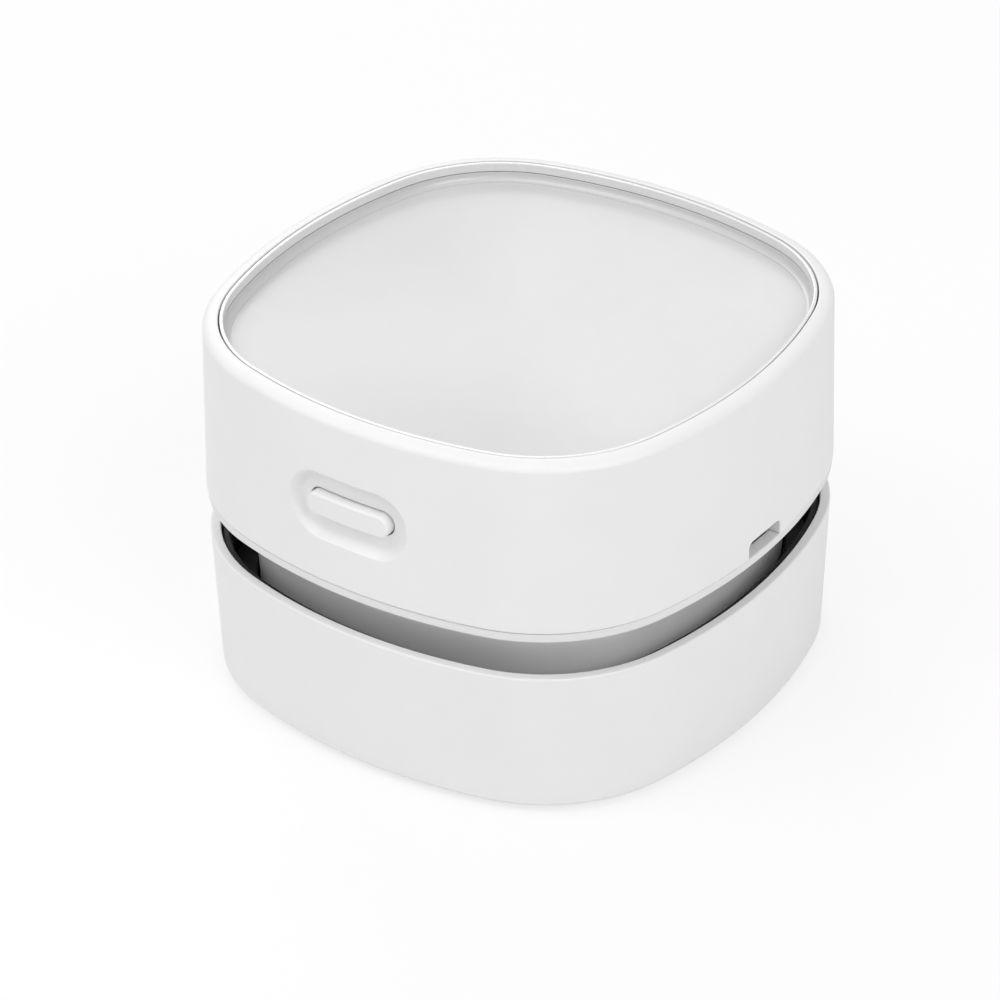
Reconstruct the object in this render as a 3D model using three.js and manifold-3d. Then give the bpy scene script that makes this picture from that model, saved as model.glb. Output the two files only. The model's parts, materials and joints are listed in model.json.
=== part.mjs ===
// A desktop mini vacuum cleaner: a rounded square body, about 86 mm wide and 58 mm tall.
// The dust unit stands on the table and holds the brush, the suction tube and the dust cup.
// The main unit plugs into it by its neck and lifts off, and holds the fan, motor and battery.
// Millimetres, +Z up, origin on the table under the middle. The power button faces -Y
// and the charging port faces +X.
import * as THREE from 'three';
import { mergeVertices, toCreasedNormals } from 'three/addons/utils/BufferGeometryUtils.js';
import Module from 'manifold-3d';

const wasm = await Module();
wasm.setup();

// The outline seen from above: four wide side arcs joined by four corner arcs
const plan = { halfWidth: 42, sideRadius: 79.6, cornerRadius: 25.75, sideSteps: 4, cornerSteps: 5 };

// Heights of the outer bands, from the table up
const height = { stand: 1, skirt: 22.7, waist: 6.2, band: 1.48, parting: 0.12, shell: 26.9 };

// Gaps: seat between pieces that rest on each other, slide between pieces that move or are pushed in
const gap = { seat: 0.15, slide: 0.3, air: 0.6 };
const overrun = 0.5;

const lowerWall = {
  top: 0.5, bottom: -0.2, thickness: 1.5, edge: 0.8, flangeWidth: 5.8, flangeThickness: 1.2,
};
const brushPlate = { recess: 2.2, thickness: 2, screwHeadDepth: 1.1 };
const cup = {
  wall: 1.2, floor: 1.2, edgeDrop: 0.9, shelfDrop: 9.5, lipInset: 0.4,
  bossRadius: 2.8, bossDrop: 0.75, boreCap: 1.2,
};
const collar = { ledge: 1, wall: 1.2, seatThickness: 1, seatWidth: 2.25 };
const seal = { thickness: 0.7, width: 1.75, squeeze: 0.2 };
const nozzle = { bore: 9, wall: 1.2, flangeWidth: 3.8, flangeThickness: 1.2, headroom: 1.95, lip: 0.6 };
const strip = {
  inset: 8, width: 4, thickness: 1.35, grooveDepth: 1.2, halfAngle: 0.262, steps: 6,
  rows: 3, strandsPerRow: 27, rowPitch: 1.3, strandRadius: 0.3, strandAngle: 0.248, tipHeight: 0.2,
};
const foot = { radius: 4, edge: 0.4, inset: 13, cupWall: 1.1, cupDrop: 1.8 };
const baseScrew = { inset: 4.4, headRadius: 1.9, headHeight: 0.9, shankRadius: 0.85 };
// The room that a screw's tip leaves at the end of its bore
const tipGap = 0.4;

const neck = {
  topInset: 5.9, draft: 0.6, wall: 1.3, plugDepth: 9.6, ribWidth: 1.4, ribThickness: 0.9, ribRise: 8,
};
const band = { out: 0.58, ribGap: 0.37, ribWidth: 1.2, ribHeight: 1.92 };
const slot = { count: 5, pitch: 7.6, length: 5.4, width: 2, inset: 4.3 };
const shell = {
  bottomOut: 0.72, wall: 2.1, topWall: 2, shoulderWidth: 2.27, shoulderHeight: 1.3, shoulderSteps: 5,
  recess: 4.3, ledgeWidth: 3.73, ledgeThickness: 1.6,
};
const housingScrew = {
  inset: 3.6, headRadius: 1.9, headHeight: 1, headDepth: 1.3, shankRadius: 0.9,
  padRadius: 2.9, bossRadius: 2.6, boreDepth: 10,
};
const tray = {
  lipDrop: 1.6, lipWidth: 0.55, coveWidth: 0.9, coveHeight: 1.2, coveSteps: 3, dish: 2.4, thickness: 1.5,
  rimWidth: 3.85,
};
const floorShares = [0.88, 0.68, 0.4];
const trim = { drop: 0.1, height: 1.35, width: 0.55, sideGap: 0.23 };

const button = {
  length: 14.2, width: 3.5, belowMiddle: 1.3, proud: 1.4, travel: 0.8, edge: 0.35, holeGap: 0.25,
  flange: 1, flangeThickness: 0.8, stemRadius: 1.6, stemLength: 1.8,
};
const dish = { length: 20.4, width: 10.8, depth: 1.4, slope: 1.4 };
// The dish's side, from its rim to its floor, as [share of the slope, share of the depth]
const dishSideShares = [[0.15, 0.35], [0.5, 0.85], [1, 1]];
const port = { width: 8.3, height: 2.5, corner: 1, hoodDepth: 2.2, hoodWall: 1.3, sill: 2.5, pocket: 0.8 };
const socket = { width: 6.9, height: 2.3, length: 4.8, wall: 0.35, chamfer: 0.6, tongue: 0.7, block: 1.6 };
const powerSwitch = { size: 6, thickness: 2.9, plungerRadius: 1.5, plungerLength: 2.3, boreDepth: 2.6 };
const switchBoard = { width: 19.6, height: 7.8, thickness: 1, drop: 4 };
const guide = { thickness: 1.8, depth: 9.4, slotDepth: 0.9, capAbove: 1.2 };

const mount = {
  inset: 6, thickness: 1.5, postRadius: 1.5, portInset: 6.5, portWidth: 4, portHalfAngle: 0.26,
};
const portTurnShares = [0, 0.22, 0.5, 0.78, 1];
const mountScrew = {
  inset: 9, headRadius: 1.8, headHeight: 1.1, shankRadius: 0.8, bossRadius: 2.4, boreDepth: 5.1, boreCap: 0.5,
};
const motor = {
  radius: 12.2, headroom: 1.57, edge: 0.5, bossRadius: 4, bossHeight: 1.5, boreRadius: 1.3, boreDepth: 7.8,
  capRadius: 11, capHeight: 1.1, bearingRadius: 4.5, bearingHeight: 1.5, tab: 1.6,
};
const motorScrew = { headRadius: 1.5, headHeight: 1, shankRadius: 0.75, place: 8, boreDepth: 1.85 };
const shaft = { radius: 1, above: 7.2, noseGap: 0.2 };
const fan = {
  sideGap: 6.6, plate: 1, bladeThickness: 1, blades: 11, bladeInner: 9.5, bladeSweep: 0.75,
  hubRadius: 4.5, hubBore: 1.15, hubRecess: 0.5, topGap: 1.7, bottomGap: 0.38, bladeSteps: 4,
};
const shroud = { inset: 8.05, thickness: 1.25, inletRadius: 12, lipWidth: 1.2, lipHeight: 0.35 };
const filter = { inset: 8.2, wall: 1, height: 6.6, floor: 1, pitch: 4.8, ribWidth: 1.6, foamHeight: 5.2 };

const battery = { nubRadius: 2.6, nubHeight: 0.9, motorGap: 1.5, screwGap: 0.5, bossGap: 0.4, drop: 0.08 };
const holder = { base: 1.2, side: 1.2, end: 1.2 };
const board = { length: 14.9, width: 24.4, thickness: 1, lift: 1.3, postInset: 5.2, postSpread: 10.4 };
const chip = { length: 5, width: 4, height: 1.1, coilRadius: 2.4, coilHeight: 2.2 };
const lead = { radius: 0.5, web: 0.17, webTurn: 0.5, bend: 3, steps: 8, sides: 3 };

// Facets round a full turn: large turned pieces, small ones, and screws
const facets = { large: 28, small: 16, screw: 8, strand: 3 };
const crossShares = { reach: 0.6, width: 0.25, depth: 0.5, crown: 0.35 };
// The steps of a pill outline's straight side and round end
const pillSteps = { straight: 5, round: 6 };

// Levels that the pieces share, measured from the table
const level = {};
level.lowerBase = height.stand;
level.lowerTop = level.lowerBase + height.skirt;
level.bandBase = level.lowerTop + height.waist;
level.bandTop = level.bandBase + height.band;
level.shellBase = level.bandTop + height.parting;
level.shellTop = level.shellBase + height.shell;
level.plateBase = level.lowerBase + brushPlate.recess;
level.flangeBase = level.plateBase + brushPlate.thickness + gap.seat;
level.flangeTop = level.flangeBase + lowerWall.flangeThickness;
level.cupBase = level.flangeTop + gap.seat;
level.cupFloor = level.cupBase + cup.floor;
level.cupTop = level.lowerTop - cup.edgeDrop;
level.cupShelf = level.lowerTop - cup.shelfDrop;
level.collarBase = level.cupShelf + gap.seat;
level.collarTop = level.collarBase + collar.ledge;
level.neckBase = level.lowerTop - neck.plugDepth;
level.sealBase = level.neckBase - seal.squeeze - seal.thickness;
level.seatTop = level.sealBase - gap.seat;
level.seatBase = level.seatTop - collar.seatThickness;
level.ribTop = level.neckBase + neck.ribRise;
level.shroudBase = level.ribTop + gap.seat;
level.shroudTop = level.shroudBase + shroud.thickness;
level.filterBase = level.neckBase + gap.slide;
level.lipTop = level.bandTop + band.ribHeight;
level.mountBase = level.bandTop + gap.seat;
level.mountTop = level.mountBase + mount.thickness;
level.fanTop = level.mountBase - fan.topGap;
level.fanBase = level.shroudTop + shroud.lipHeight + fan.bottomGap;
level.ledgeTop = level.shellTop - shell.recess;
level.ledgeBase = level.ledgeTop - shell.ledgeThickness;
level.trayBase = level.ledgeTop + gap.seat;
level.trayLip = level.shellTop - tray.lipDrop;
level.floorEdge = level.trayLip - tray.coveHeight;
level.trayUnder = level.floorEdge - tray.dish - tray.thickness;
level.trimTop = level.shellTop - trim.drop;
level.motorBase = level.mountTop + gap.seat;
level.bearingTop = level.trayUnder - motor.headroom;
level.endCapTop = level.bearingTop - motor.bearingHeight;
level.motorTop = level.endCapTop - motor.capHeight - gap.seat;
level.button = (level.shellBase + level.shellTop) / 2 - button.belowMiddle;
level.boardBase = level.mountTop + board.lift;

// Insets that several pieces share, as offsets from the plan outline (negative is inwards)
const lowerInner = lowerWall.top - lowerWall.thickness;
const cupOuter = lowerWall.bottom - lowerWall.thickness - gap.slide / 2;
const cupLip = cupOuter - cup.lipInset;
const neckHeight = level.bandBase - level.neckBase;
const neckAt = (z) => -neck.topInset - neck.draft * (level.bandBase - z) / neckHeight;
const collarInner = neckAt(level.collarTop) + gap.slide;
const shellInner = shell.bottomOut - shell.wall;
const ribOuter = shellInner - band.ribGap;
const trayOuter = -shell.shoulderWidth - gap.slide;

// Colours and finishes
const paint = (color, roughness, metalness = 0) => ({ color, roughness, metalness });
const finish = {
  shellWhite: paint(0xf3f3f2, 0.42),
  trayWhite: paint(0xe6e6e5, 0.38),
  trimWhite: paint(0xf6f6f6, 0.25),
  neckGrey: paint(0xd2d2d1, 0.5),
  cupBlack: paint(0x1d1d1f, 0.6),
  rubberBlack: paint(0x262628, 0.9),
  plateGrey: paint(0x8d8f92, 0.6),
  bristleGrey: paint(0x3a3b3e, 0.8),
  foamBlack: paint(0x2b2b2d, 1),
  fanBlue: paint(0xcfd6dc, 0.4),
  steel: paint(0xb9bbbe, 0.3, 1),
  boardGreen: paint(0x1e5b3a, 0.55),
  chipBlack: paint(0x17181a, 0.5),
  cellBlue: paint(0x2f6fae, 0.4),
  wireRed: paint(0xb3282a, 0.5),
};

// Plan outline: the centre of the +X side arc, the corner arc's centre, and half the side arc's turn
const sideCentre = plan.halfWidth - plan.sideRadius;
const cornerReach = plan.sideRadius - plan.cornerRadius;
const cornerCentre = (sideCentre + Math.sqrt(2 * cornerReach ** 2 - sideCentre ** 2)) / 2;
const sideTurn = Math.atan2(cornerCentre, cornerCentre - sideCentre);
const quarterTurn = Math.PI / 2;
const axis = new THREE.Vector2(0, 0);

function polar(centre, radius, angle) {
  return new THREE.Vector2(centre.x + radius * Math.cos(angle), centre.y + radius * Math.sin(angle));
}

function planPoints(offset) {
  const side = new THREE.Vector2(sideCentre, 0);
  const corner = new THREE.Vector2(cornerCentre, cornerCentre);
  const points = [];
  for (let quarter = 0; quarter < 4; quarter++) {
    for (let i = 0; i < plan.sideSteps; i++) {
      const angle = sideTurn * (2 * i / plan.sideSteps - 1);
      points.push(polar(side, plan.sideRadius + offset, angle).rotateAround(axis, quarter * quarterTurn));
    }
    for (let i = 0; i < plan.cornerSteps; i++) {
      const angle = sideTurn + (quarterTurn - 2 * sideTurn) * i / plan.cornerSteps;
      points.push(polar(corner, plan.cornerRadius + offset, angle).rotateAround(axis, quarter * quarterTurn));
    }
  }
  return points;
}

// The hood inside the port's notch, the socket behind it, and the screws that hold the motor mount
const hoodEnd = plan.halfWidth + ribOuter - port.hoodDepth;
const socketEnd = hoodEnd - gap.slide;
const mountScrewPlaces = [mountScrew.inset - plan.halfWidth, plan.halfWidth - mountScrew.inset];
const fanRadius = plan.halfWidth - mountScrew.inset - mountScrew.bossRadius - fan.sideGap;

// A point on the diagonal of each corner, at an inset from the outline
function cornerPlace(inset) {
  const along = cornerCentre + (plan.cornerRadius - inset) * Math.SQRT1_2;
  return new THREE.Vector2(along, along);
}

function planRing(offset, z, share = 1) {
  return planPoints(offset).map((point) => new THREE.Vector3(point.x * share, point.y * share, z));
}

// Merges shared corners, drops empty triangles and turns the faces outwards
function weld(geometry) {
  const bare = geometry.clone();
  bare.deleteAttribute('normal');
  bare.deleteAttribute('uv');
  const merged = mergeVertices(bare);
  const place = merged.getAttribute('position');
  const kept = [];
  let volume = 0;
  for (let i = 0; i < merged.index.count; i += 3) {
    const [a, b, c] = [0, 1, 2].map((corner) => merged.index.getX(i + corner));
    if (a === b || b === c || c === a) continue;
    const [p, q, r] = [a, b, c].map((corner) => new THREE.Vector3().fromBufferAttribute(place, corner));
    volume += p.dot(q.cross(r));
    kept.push([a, b, c]);
  }
  const turned = kept.map(([a, b, c]) => (volume > 0 ? [a, b, c] : [a, c, b]));
  merged.setIndex(turned.flat());
  return merged;
}

function geometryOf(points, index) {
  const geometry = new THREE.BufferGeometry();
  const numbers = points.flatMap((point) => point.toArray());
  geometry.setAttribute('position', new THREE.Float32BufferAttribute(numbers, 3));
  geometry.setIndex(index);
  return weld(geometry);
}

// Joins rings of equal count; closed runs round to the first ring, open is capped at both ends
function loft(rings, closed) {
  const count = rings[0].length;
  const points = rings.flat();
  const index = [];
  const spans = closed ? rings.length : rings.length - 1;
  for (let r = 0; r < spans; r++) {
    const low = r * count;
    const high = ((r + 1) % rings.length) * count;
    for (let i = 0; i < count; i++) {
      const next = (i + 1) % count;
      index.push(low + i, low + next, high + next, low + i, high + next, high + i);
    }
  }
  if (!closed) {
    for (const last of [0, rings.length - 1]) {
      const middle = rings[last].reduce((sum, point) => sum.add(point), new THREE.Vector3());
      points.push(middle.divideScalar(count));
      for (let i = 0; i < count; i++) {
        const edge = [last * count + i, last * count + (i + 1) % count];
        index.push(...(last === 0 ? edge.reverse() : edge), points.length - 1);
      }
    }
  }
  return geometryOf(points, index);
}

// A wall that follows the outline, from a closed profile of [offset, z] points
const planWall = (profile) => loft(profile.map(([offset, z]) => planRing(offset, z)), true);

// A plate or dish across the outline, from an open profile of [offset, z, share] points
const planSolid = (profile) => loft(profile.map(([offset, z, share]) => planRing(offset, z, share)), false);

// A piece turned about the vertical axis, from [radius, z] points
function turned(profile, sides, x = 0, y = 0) {
  const points = profile.map(([radius, z]) => new THREE.Vector2(radius, z));
  const geometry = new THREE.LatheGeometry(points, sides);
  geometry.rotateX(quarterTurn);
  geometry.translate(x, y, 0);
  return weld(geometry);
}

const rod = (radius, from, to, sides, x = 0, y = 0) =>
  turned([[0, from], [radius, from], [radius, to], [0, to]], sides, x, y);

// A cutter for a round hole, which runs past the stretch at both ends
const drill = (radius, from, to, sides, x = 0, y = 0) =>
  rod(radius, from - overrun, to + overrun, sides, x, y);

function block(low, high) {
  const size = new THREE.Vector3(...high).sub(new THREE.Vector3(...low));
  const middle = new THREE.Vector3(...high).add(new THREE.Vector3(...low)).multiplyScalar(0.5);
  return weld(new THREE.BoxGeometry(size.x, size.y, size.z).translate(middle.x, middle.y, middle.z));
}

function prism(shape, from, to) {
  const settings = { depth: to - from, bevelEnabled: false, curveSegments: 4 };
  return weld(new THREE.ExtrudeGeometry(shape, settings).translate(0, 0, from));
}

// Solids for cutting and joining
function solidOf(geometry) {
  return new wasm.Manifold(new wasm.Mesh({
    numProp: 3,
    vertProperties: new Float32Array(geometry.getAttribute('position').array),
    triVerts: new Uint32Array(geometry.index.array),
  }));
}

function join(geometry, ...others) {
  return others.reduce((solid, other) => solid.add(solidOf(other)), solidOf(geometry));
}

const cut = (solid, ...tools) => tools.reduce((rest, tool) => rest.subtract(solidOf(tool)), solid);

function geometryFrom(solid) {
  const mesh = solid.getMesh();
  const geometry = new THREE.BufferGeometry();
  geometry.setAttribute('position', new THREE.BufferAttribute(mesh.vertProperties, 3));
  geometry.setIndex(new THREE.BufferAttribute(mesh.triVerts, 1));
  return geometry;
}

const vacuum = new THREE.Group();
vacuum.name = 'desktop_vacuum';
const creaseAngle = 0.5;

function addPiece(name, shape, look, turn = 0) {
  const geometry = shape instanceof THREE.BufferGeometry ? shape : geometryFrom(shape);
  const mesh = new THREE.Mesh(toCreasedNormals(geometry, creaseAngle), new THREE.MeshStandardMaterial(look));
  mesh.name = name;
  mesh.rotation.z = turn;
  vacuum.add(mesh);
}

// The four quarters of the body, with the name of the side and of the corner that each turn reaches
const sides = ['right', 'back', 'left', 'front'];
const corners = ['back_right', 'back_left', 'front_left', 'front_right'];
const cornersOf = (inset) => corners.map((name, quarter) => {
  const point = cornerPlace(inset).rotateAround(axis, quarter * quarterTurn);
  return { name, x: point.x, y: point.y };
});

// A cross-head screw that points up, with its head's face at the base and its point at the tip
function screw({ headRadius, headHeight, shankRadius }, x, y, base, tip) {
  const crown = headHeight * crossShares.crown;
  const body = turned([
    [0, base],
    [headRadius - crown, base],
    [headRadius, base + crown],
    [headRadius, base + headHeight],
    [shankRadius, base + headHeight],
    [shankRadius, tip - shankRadius],
    [0, tip],
  ], facets.screw, x, y);
  const reach = headRadius * crossShares.reach;
  const width = headRadius * crossShares.width;
  const top = base + headHeight * crossShares.depth;
  return cut(
    solidOf(body),
    block([x - reach, y - width, base - overrun], [x + reach, y + width, top]),
    block([x - width, y - reach, base - overrun], [x + width, y + reach, top]),
  );
}

// Lower shell: the white skirt, with an inner flange that carries the cup and the brush plate
function makeLowerShell() {
  const skirt = lowerWall.bottom - lowerWall.thickness;
  const edge = [0, 0.5, 1].map((share) => {
    const angle = quarterTurn * share;
    const out = lowerWall.bottom - lowerWall.edge * (1 - Math.sin(angle));
    return [out, level.lowerBase + lowerWall.edge * (1 - Math.cos(angle))];
  });
  const wall = planWall([
    ...edge,
    [lowerWall.top, level.lowerTop],
    [lowerInner, level.lowerTop],
    [skirt + gap.slide, level.flangeTop],
    [skirt - lowerWall.flangeWidth, level.flangeTop],
    [skirt - lowerWall.flangeWidth, level.flangeBase],
    [skirt, level.flangeBase],
    [skirt, level.lowerBase],
  ]);
  const holes = cornersOf(baseScrew.inset).map(({ x, y }) =>
    drill(baseScrew.shankRadius + gap.air, level.flangeBase, level.flangeTop, facets.screw, x, y));
  addPiece('lower_shell', cut(solidOf(wall), ...holes), finish.shellWhite);
}

// Dust cup: the black tub that lines the skirt, with a shelf for the collar and screw bosses
function makeDustCup() {
  const tub = planSolid([
    [cupOuter, level.cupBase],
    [lowerInner - gap.slide, level.cupTop],
    [cupLip, level.cupTop],
    [cupLip, level.cupShelf],
    [cupOuter - cup.wall, level.cupShelf],
    [cupOuter - cup.wall, level.cupFloor],
  ]);
  const places = cornersOf(baseScrew.inset);
  const top = level.seatBase - cup.bossDrop;
  const bosses = places.map(({ x, y }) =>
    rod(cup.bossRadius, level.cupFloor - cup.floor / 2, top, facets.small, x, y));
  const bores = places.map(({ x, y }) =>
    rod(baseScrew.shankRadius + gap.seat, level.cupBase - overrun, top - cup.boreCap, facets.screw, x, y));
  const tube = nozzle.bore + nozzle.wall + gap.slide;
  const mouth = drill(tube, level.cupBase, level.cupFloor, facets.large);
  addPiece('dust_cup', cut(join(tub, ...bosses), ...bores, mouth), finish.cupBlack);
}

// Cup collar: the black ring on the cup's shelf, which guides the neck down to its seat
function makeCupCollar() {
  const outer = cupLip - gap.slide;
  addPiece('dust_cup_collar', planWall([
    [outer, level.collarBase],
    [outer, level.collarTop],
    [collarInner, level.collarTop],
    [collarInner, level.seatTop],
    [collarInner - collar.seatWidth, level.seatTop],
    [collarInner - collar.seatWidth, level.seatBase],
    [collarInner + collar.wall, level.seatBase],
    [collarInner + collar.wall, level.collarBase],
  ]), finish.cupBlack);
  addPiece('neck_seal', planWall([
    [collarInner - gap.slide, level.sealBase],
    [collarInner - gap.slide, level.sealBase + seal.thickness],
    [collarInner - gap.slide - seal.width, level.sealBase + seal.thickness],
    [collarInner - gap.slide - seal.width, level.sealBase],
  ]), finish.rubberBlack);
}

// Suction tube: stands in the cup's floor, and keeps the dust from falling back out
function makeNozzle() {
  const outer = nozzle.bore + nozzle.wall;
  const flangeBase = level.cupFloor + gap.seat;
  const flangeTop = flangeBase + nozzle.flangeThickness;
  const top = level.filterBase - nozzle.headroom;
  addPiece('suction_nozzle', turned([
    [nozzle.bore + nozzle.lip, level.plateBase],
    [outer, level.plateBase],
    [outer, flangeBase],
    [outer + nozzle.flangeWidth, flangeBase],
    [outer + nozzle.flangeWidth, flangeTop],
    [outer, flangeTop],
    [outer, top - nozzle.lip],
    [outer - nozzle.lip, top],
    [nozzle.bore, top],
    [nozzle.bore, level.plateBase + nozzle.lip],
    [nozzle.bore + nozzle.lip, level.plateBase],
  ], facets.large), finish.cupBlack);
}

// A bar that follows the +X side of the outline
function sideBar(inset, width, halfAngle, from, to) {
  const centre = new THREE.Vector2(sideCentre, 0);
  const radius = plan.sideRadius - inset;
  const points = [];
  for (let i = 0; i <= strip.steps; i++) {
    points.push(polar(centre, radius + width / 2, halfAngle * (2 * i / strip.steps - 1)));
  }
  for (let i = strip.steps; i >= 0; i--) {
    points.push(polar(centre, radius - width / 2, halfAngle * (2 * i / strip.steps - 1)));
  }
  return prism(new THREE.Shape(points), from, to);
}

// Brush strips: four bars of bristles round the suction mouth, one along each side
function makeBrushStrips() {
  const top = level.plateBase + strip.grooveDepth - gap.seat;
  const base = top - strip.thickness;
  const centre = new THREE.Vector2(sideCentre, 0);
  let brush = solidOf(sideBar(strip.inset, strip.width, strip.halfAngle, base, top));
  for (let row = 0; row < strip.rows; row++) {
    const radius = plan.sideRadius - strip.inset + (row - (strip.rows - 1) / 2) * strip.rowPitch;
    const stagger = row % 2 === 0 ? 0 : 1 / strip.strandsPerRow;
    for (let i = 0; i < strip.strandsPerRow - row % 2; i++) {
      const angle = strip.strandAngle * (2 * i / (strip.strandsPerRow - 1) - 1 + stagger);
      const root = polar(centre, radius, angle);
      const rootTop = base + strip.thickness / 2;
      const strand = new THREE.ConeGeometry(strip.strandRadius, rootTop - strip.tipHeight, facets.strand);
      strand.rotateX(-quarterTurn);
      strand.translate(root.x, root.y, (rootTop + strip.tipHeight) / 2);
      brush = brush.add(solidOf(weld(strand)));
    }
  }
  sides.forEach((side, quarter) =>
    addPiece(`brush_strip_${side}`, brush, finish.bristleGrey, quarter * quarterTurn));
}

// Brush plate: the underside cover, with grooves for the strips, cups for the feet and the mouth
function makeBrushPlate() {
  const edge = lowerWall.bottom - lowerWall.thickness - gap.slide;
  const top = level.plateBase + brushPlate.thickness;
  const plate = planSolid([[edge, level.plateBase], [edge, top]]);
  const footBase = level.plateBase - foot.cupDrop;
  const footRadius = foot.radius + gap.slide;
  const middle = top - brushPlate.thickness / 2;
  const footCups = cornersOf(foot.inset).map(({ x, y }) =>
    rod(footRadius + foot.cupWall, footBase, middle, facets.small, x, y));
  const footBores = cornersOf(foot.inset).map(({ x, y }) =>
    rod(footRadius, footBase - overrun, level.plateBase, facets.small, x, y));
  const headTop = level.plateBase + brushPlate.screwHeadDepth;
  const screwHoles = cornersOf(baseScrew.inset).flatMap(({ x, y }) => [
    rod(baseScrew.headRadius + gap.slide, level.plateBase - overrun, headTop, facets.screw, x, y),
    drill(baseScrew.shankRadius + gap.slide, level.plateBase, top, facets.screw, x, y),
  ]);
  const margin = gap.slide / (plan.sideRadius - strip.inset);
  const grooves = sides.map((side, quarter) => {
    const groove = sideBar(strip.inset, strip.width + 2 * gap.slide, strip.halfAngle + margin,
      level.plateBase - overrun, level.plateBase + strip.grooveDepth);
    return groove.rotateZ(quarter * quarterTurn);
  });
  const mouth = drill(nozzle.bore + nozzle.wall + gap.slide, level.plateBase, top, facets.large);
  addPiece('brush_plate', cut(join(plate, ...footCups), ...footBores, ...screwHoles, ...grooves, mouth),
    finish.plateGrey);
  cornersOf(baseScrew.inset).forEach(({ name, x, y }) => {
    const head = headTop - baseScrew.headHeight - gap.seat;
    const tip = level.seatBase - cup.bossDrop - cup.boreCap - tipGap;
    addPiece(`base_screw_${name}`, screw(baseScrew, x, y, head, tip), finish.steel);
  });
  cornersOf(foot.inset).forEach(({ name, x, y }) => {
    const footTop = level.plateBase - gap.seat;
    addPiece(`foot_${name}`, turned([
      [0, 0], [foot.radius - foot.edge, 0], [foot.radius, foot.edge], [foot.radius, footTop], [0, footTop],
    ], facets.small, x, y), finish.rubberBlack);
  });
}

// Neck chassis: the floor of the main unit, its outer band, and the neck that holds the filter
function makeNeckChassis() {
  const innerAt = (z) => neckAt(z) - neck.wall;
  const ribBase = level.ribTop - neck.ribThickness;
  const { lipTop } = level;
  const wall = planWall([
    [band.out, level.bandBase],
    [band.out, level.bandTop],
    [ribOuter, level.bandTop],
    [ribOuter, lipTop],
    [ribOuter - band.ribWidth, lipTop],
    [ribOuter - band.ribWidth, level.bandTop],
    [innerAt(level.bandBase), level.bandTop],
    [innerAt(level.ribTop), level.ribTop],
    [innerAt(level.ribTop) - neck.ribWidth, level.ribTop],
    [innerAt(level.ribTop) - neck.ribWidth, ribBase],
    [innerAt(ribBase), ribBase],
    [innerAt(level.neckBase), level.neckBase],
    [neckAt(level.neckBase), level.neckBase],
    [neckAt(level.bandBase), level.bandBase],
  ]);
  const places = cornersOf(housingScrew.inset);
  const fence = solidOf(planSolid([[ribOuter, level.bandBase], [ribOuter, lipTop]]));
  const middle = (level.bandBase + level.bandTop) / 2;
  const pads = places.map(({ x, y }) =>
    solidOf(rod(housingScrew.padRadius, middle, lipTop, facets.small, x, y)).intersect(fence));
  const boreBase = level.bandTop - mountScrew.boreDepth;
  const bossBase = boreBase - mountScrew.boreCap;
  const bosses = mountScrewPlaces.map((y) =>
    solidOf(rod(mountScrew.bossRadius, bossBase, level.bandTop, facets.small, 0, y)));
  const body = [...pads, ...bosses].reduce((whole, part) => whole.add(part), solidOf(wall));
  const headTop = level.bandBase + housingScrew.headDepth;
  const screwHoles = places.flatMap(({ x, y }) => [
    rod(housingScrew.headRadius + gap.slide, level.bandBase - overrun, headTop, facets.screw, x, y),
    drill(housingScrew.shankRadius + gap.slide, level.bandBase, lipTop, facets.screw, x, y),
  ]);
  const bossBores = mountScrewPlaces.map((y) =>
    rod(mountScrew.shankRadius + gap.seat, boreBase, level.bandTop + overrun, facets.screw, 0, y));
  const slots = sides.flatMap((side, quarter) => exhaustSlots(quarter));
  const hood = port.width / 2 + port.hoodWall + gap.slide;
  const portCut = block(
    [hoodEnd - gap.air, -hood, level.bandTop],
    [plan.halfWidth, hood, lipTop + overrun]);
  const pocket = block(
    [hoodEnd - gap.air, -port.width / 2, level.bandTop - port.pocket],
    [plan.halfWidth + shell.bottomOut - port.sill, port.width / 2, level.bandTop + overrun]);
  addPiece('neck_chassis', cut(body, ...screwHoles, ...bossBores, ...slots, portCut, pocket), finish.neckGrey);
  places.forEach(({ name, x, y }) => {
    const head = headTop - housingScrew.headHeight - gap.seat;
    const tip = lipTop + gap.slide + housingScrew.boreDepth - tipGap;
    addPiece(`housing_screw_${name}`, screw(housingScrew, x, y, head, tip), finish.steel);
  });
}

// Exhaust slots in the ledge between the band and the neck, which blow down into the waist
function exhaustSlots(quarter) {
  const centre = new THREE.Vector2(sideCentre, 0);
  const radius = plan.sideRadius - slot.inset;
  return Array.from({ length: slot.count }, (unused, i) => {
    const angle = (i - (slot.count - 1) / 2) * slot.pitch / radius;
    const place = polar(centre, radius, angle);
    const opening = block(
      [-slot.width / 2, -slot.length / 2, level.bandBase - overrun],
      [slot.width / 2, slot.length / 2, level.bandTop + overrun]);
    return opening.rotateZ(angle).translate(place.x, place.y, 0).rotateZ(quarter * quarterTurn);
  });
}

// The upper shell's outer face at the front: y for a place across, a height and a depth under the face
function frontFace(x, z, depth) {
  const share = (z - level.shellBase) / (height.shell - shell.shoulderHeight);
  const radius = plan.sideRadius + shell.bottomOut * (1 - share) - depth;
  return -sideCentre - Math.sqrt(radius ** 2 - x ** 2);
}

// A pill's outline as [across, up] points, counted the same for any size
function pillPoints(length, width) {
  const radius = width / 2;
  const half = length / 2 - radius;
  const points = [];
  for (const side of [1, -1]) {
    for (let i = 0; i < pillSteps.straight; i++) {
      points.push([side * half * (2 * i / pillSteps.straight - 1), -side * radius]);
    }
    for (let i = 0; i < pillSteps.round; i++) {
      const angle = Math.PI * (i / pillSteps.round - 0.5);
      points.push([side * (half + radius * Math.cos(angle)), side * radius * Math.sin(angle)]);
    }
  }
  return points;
}

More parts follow.
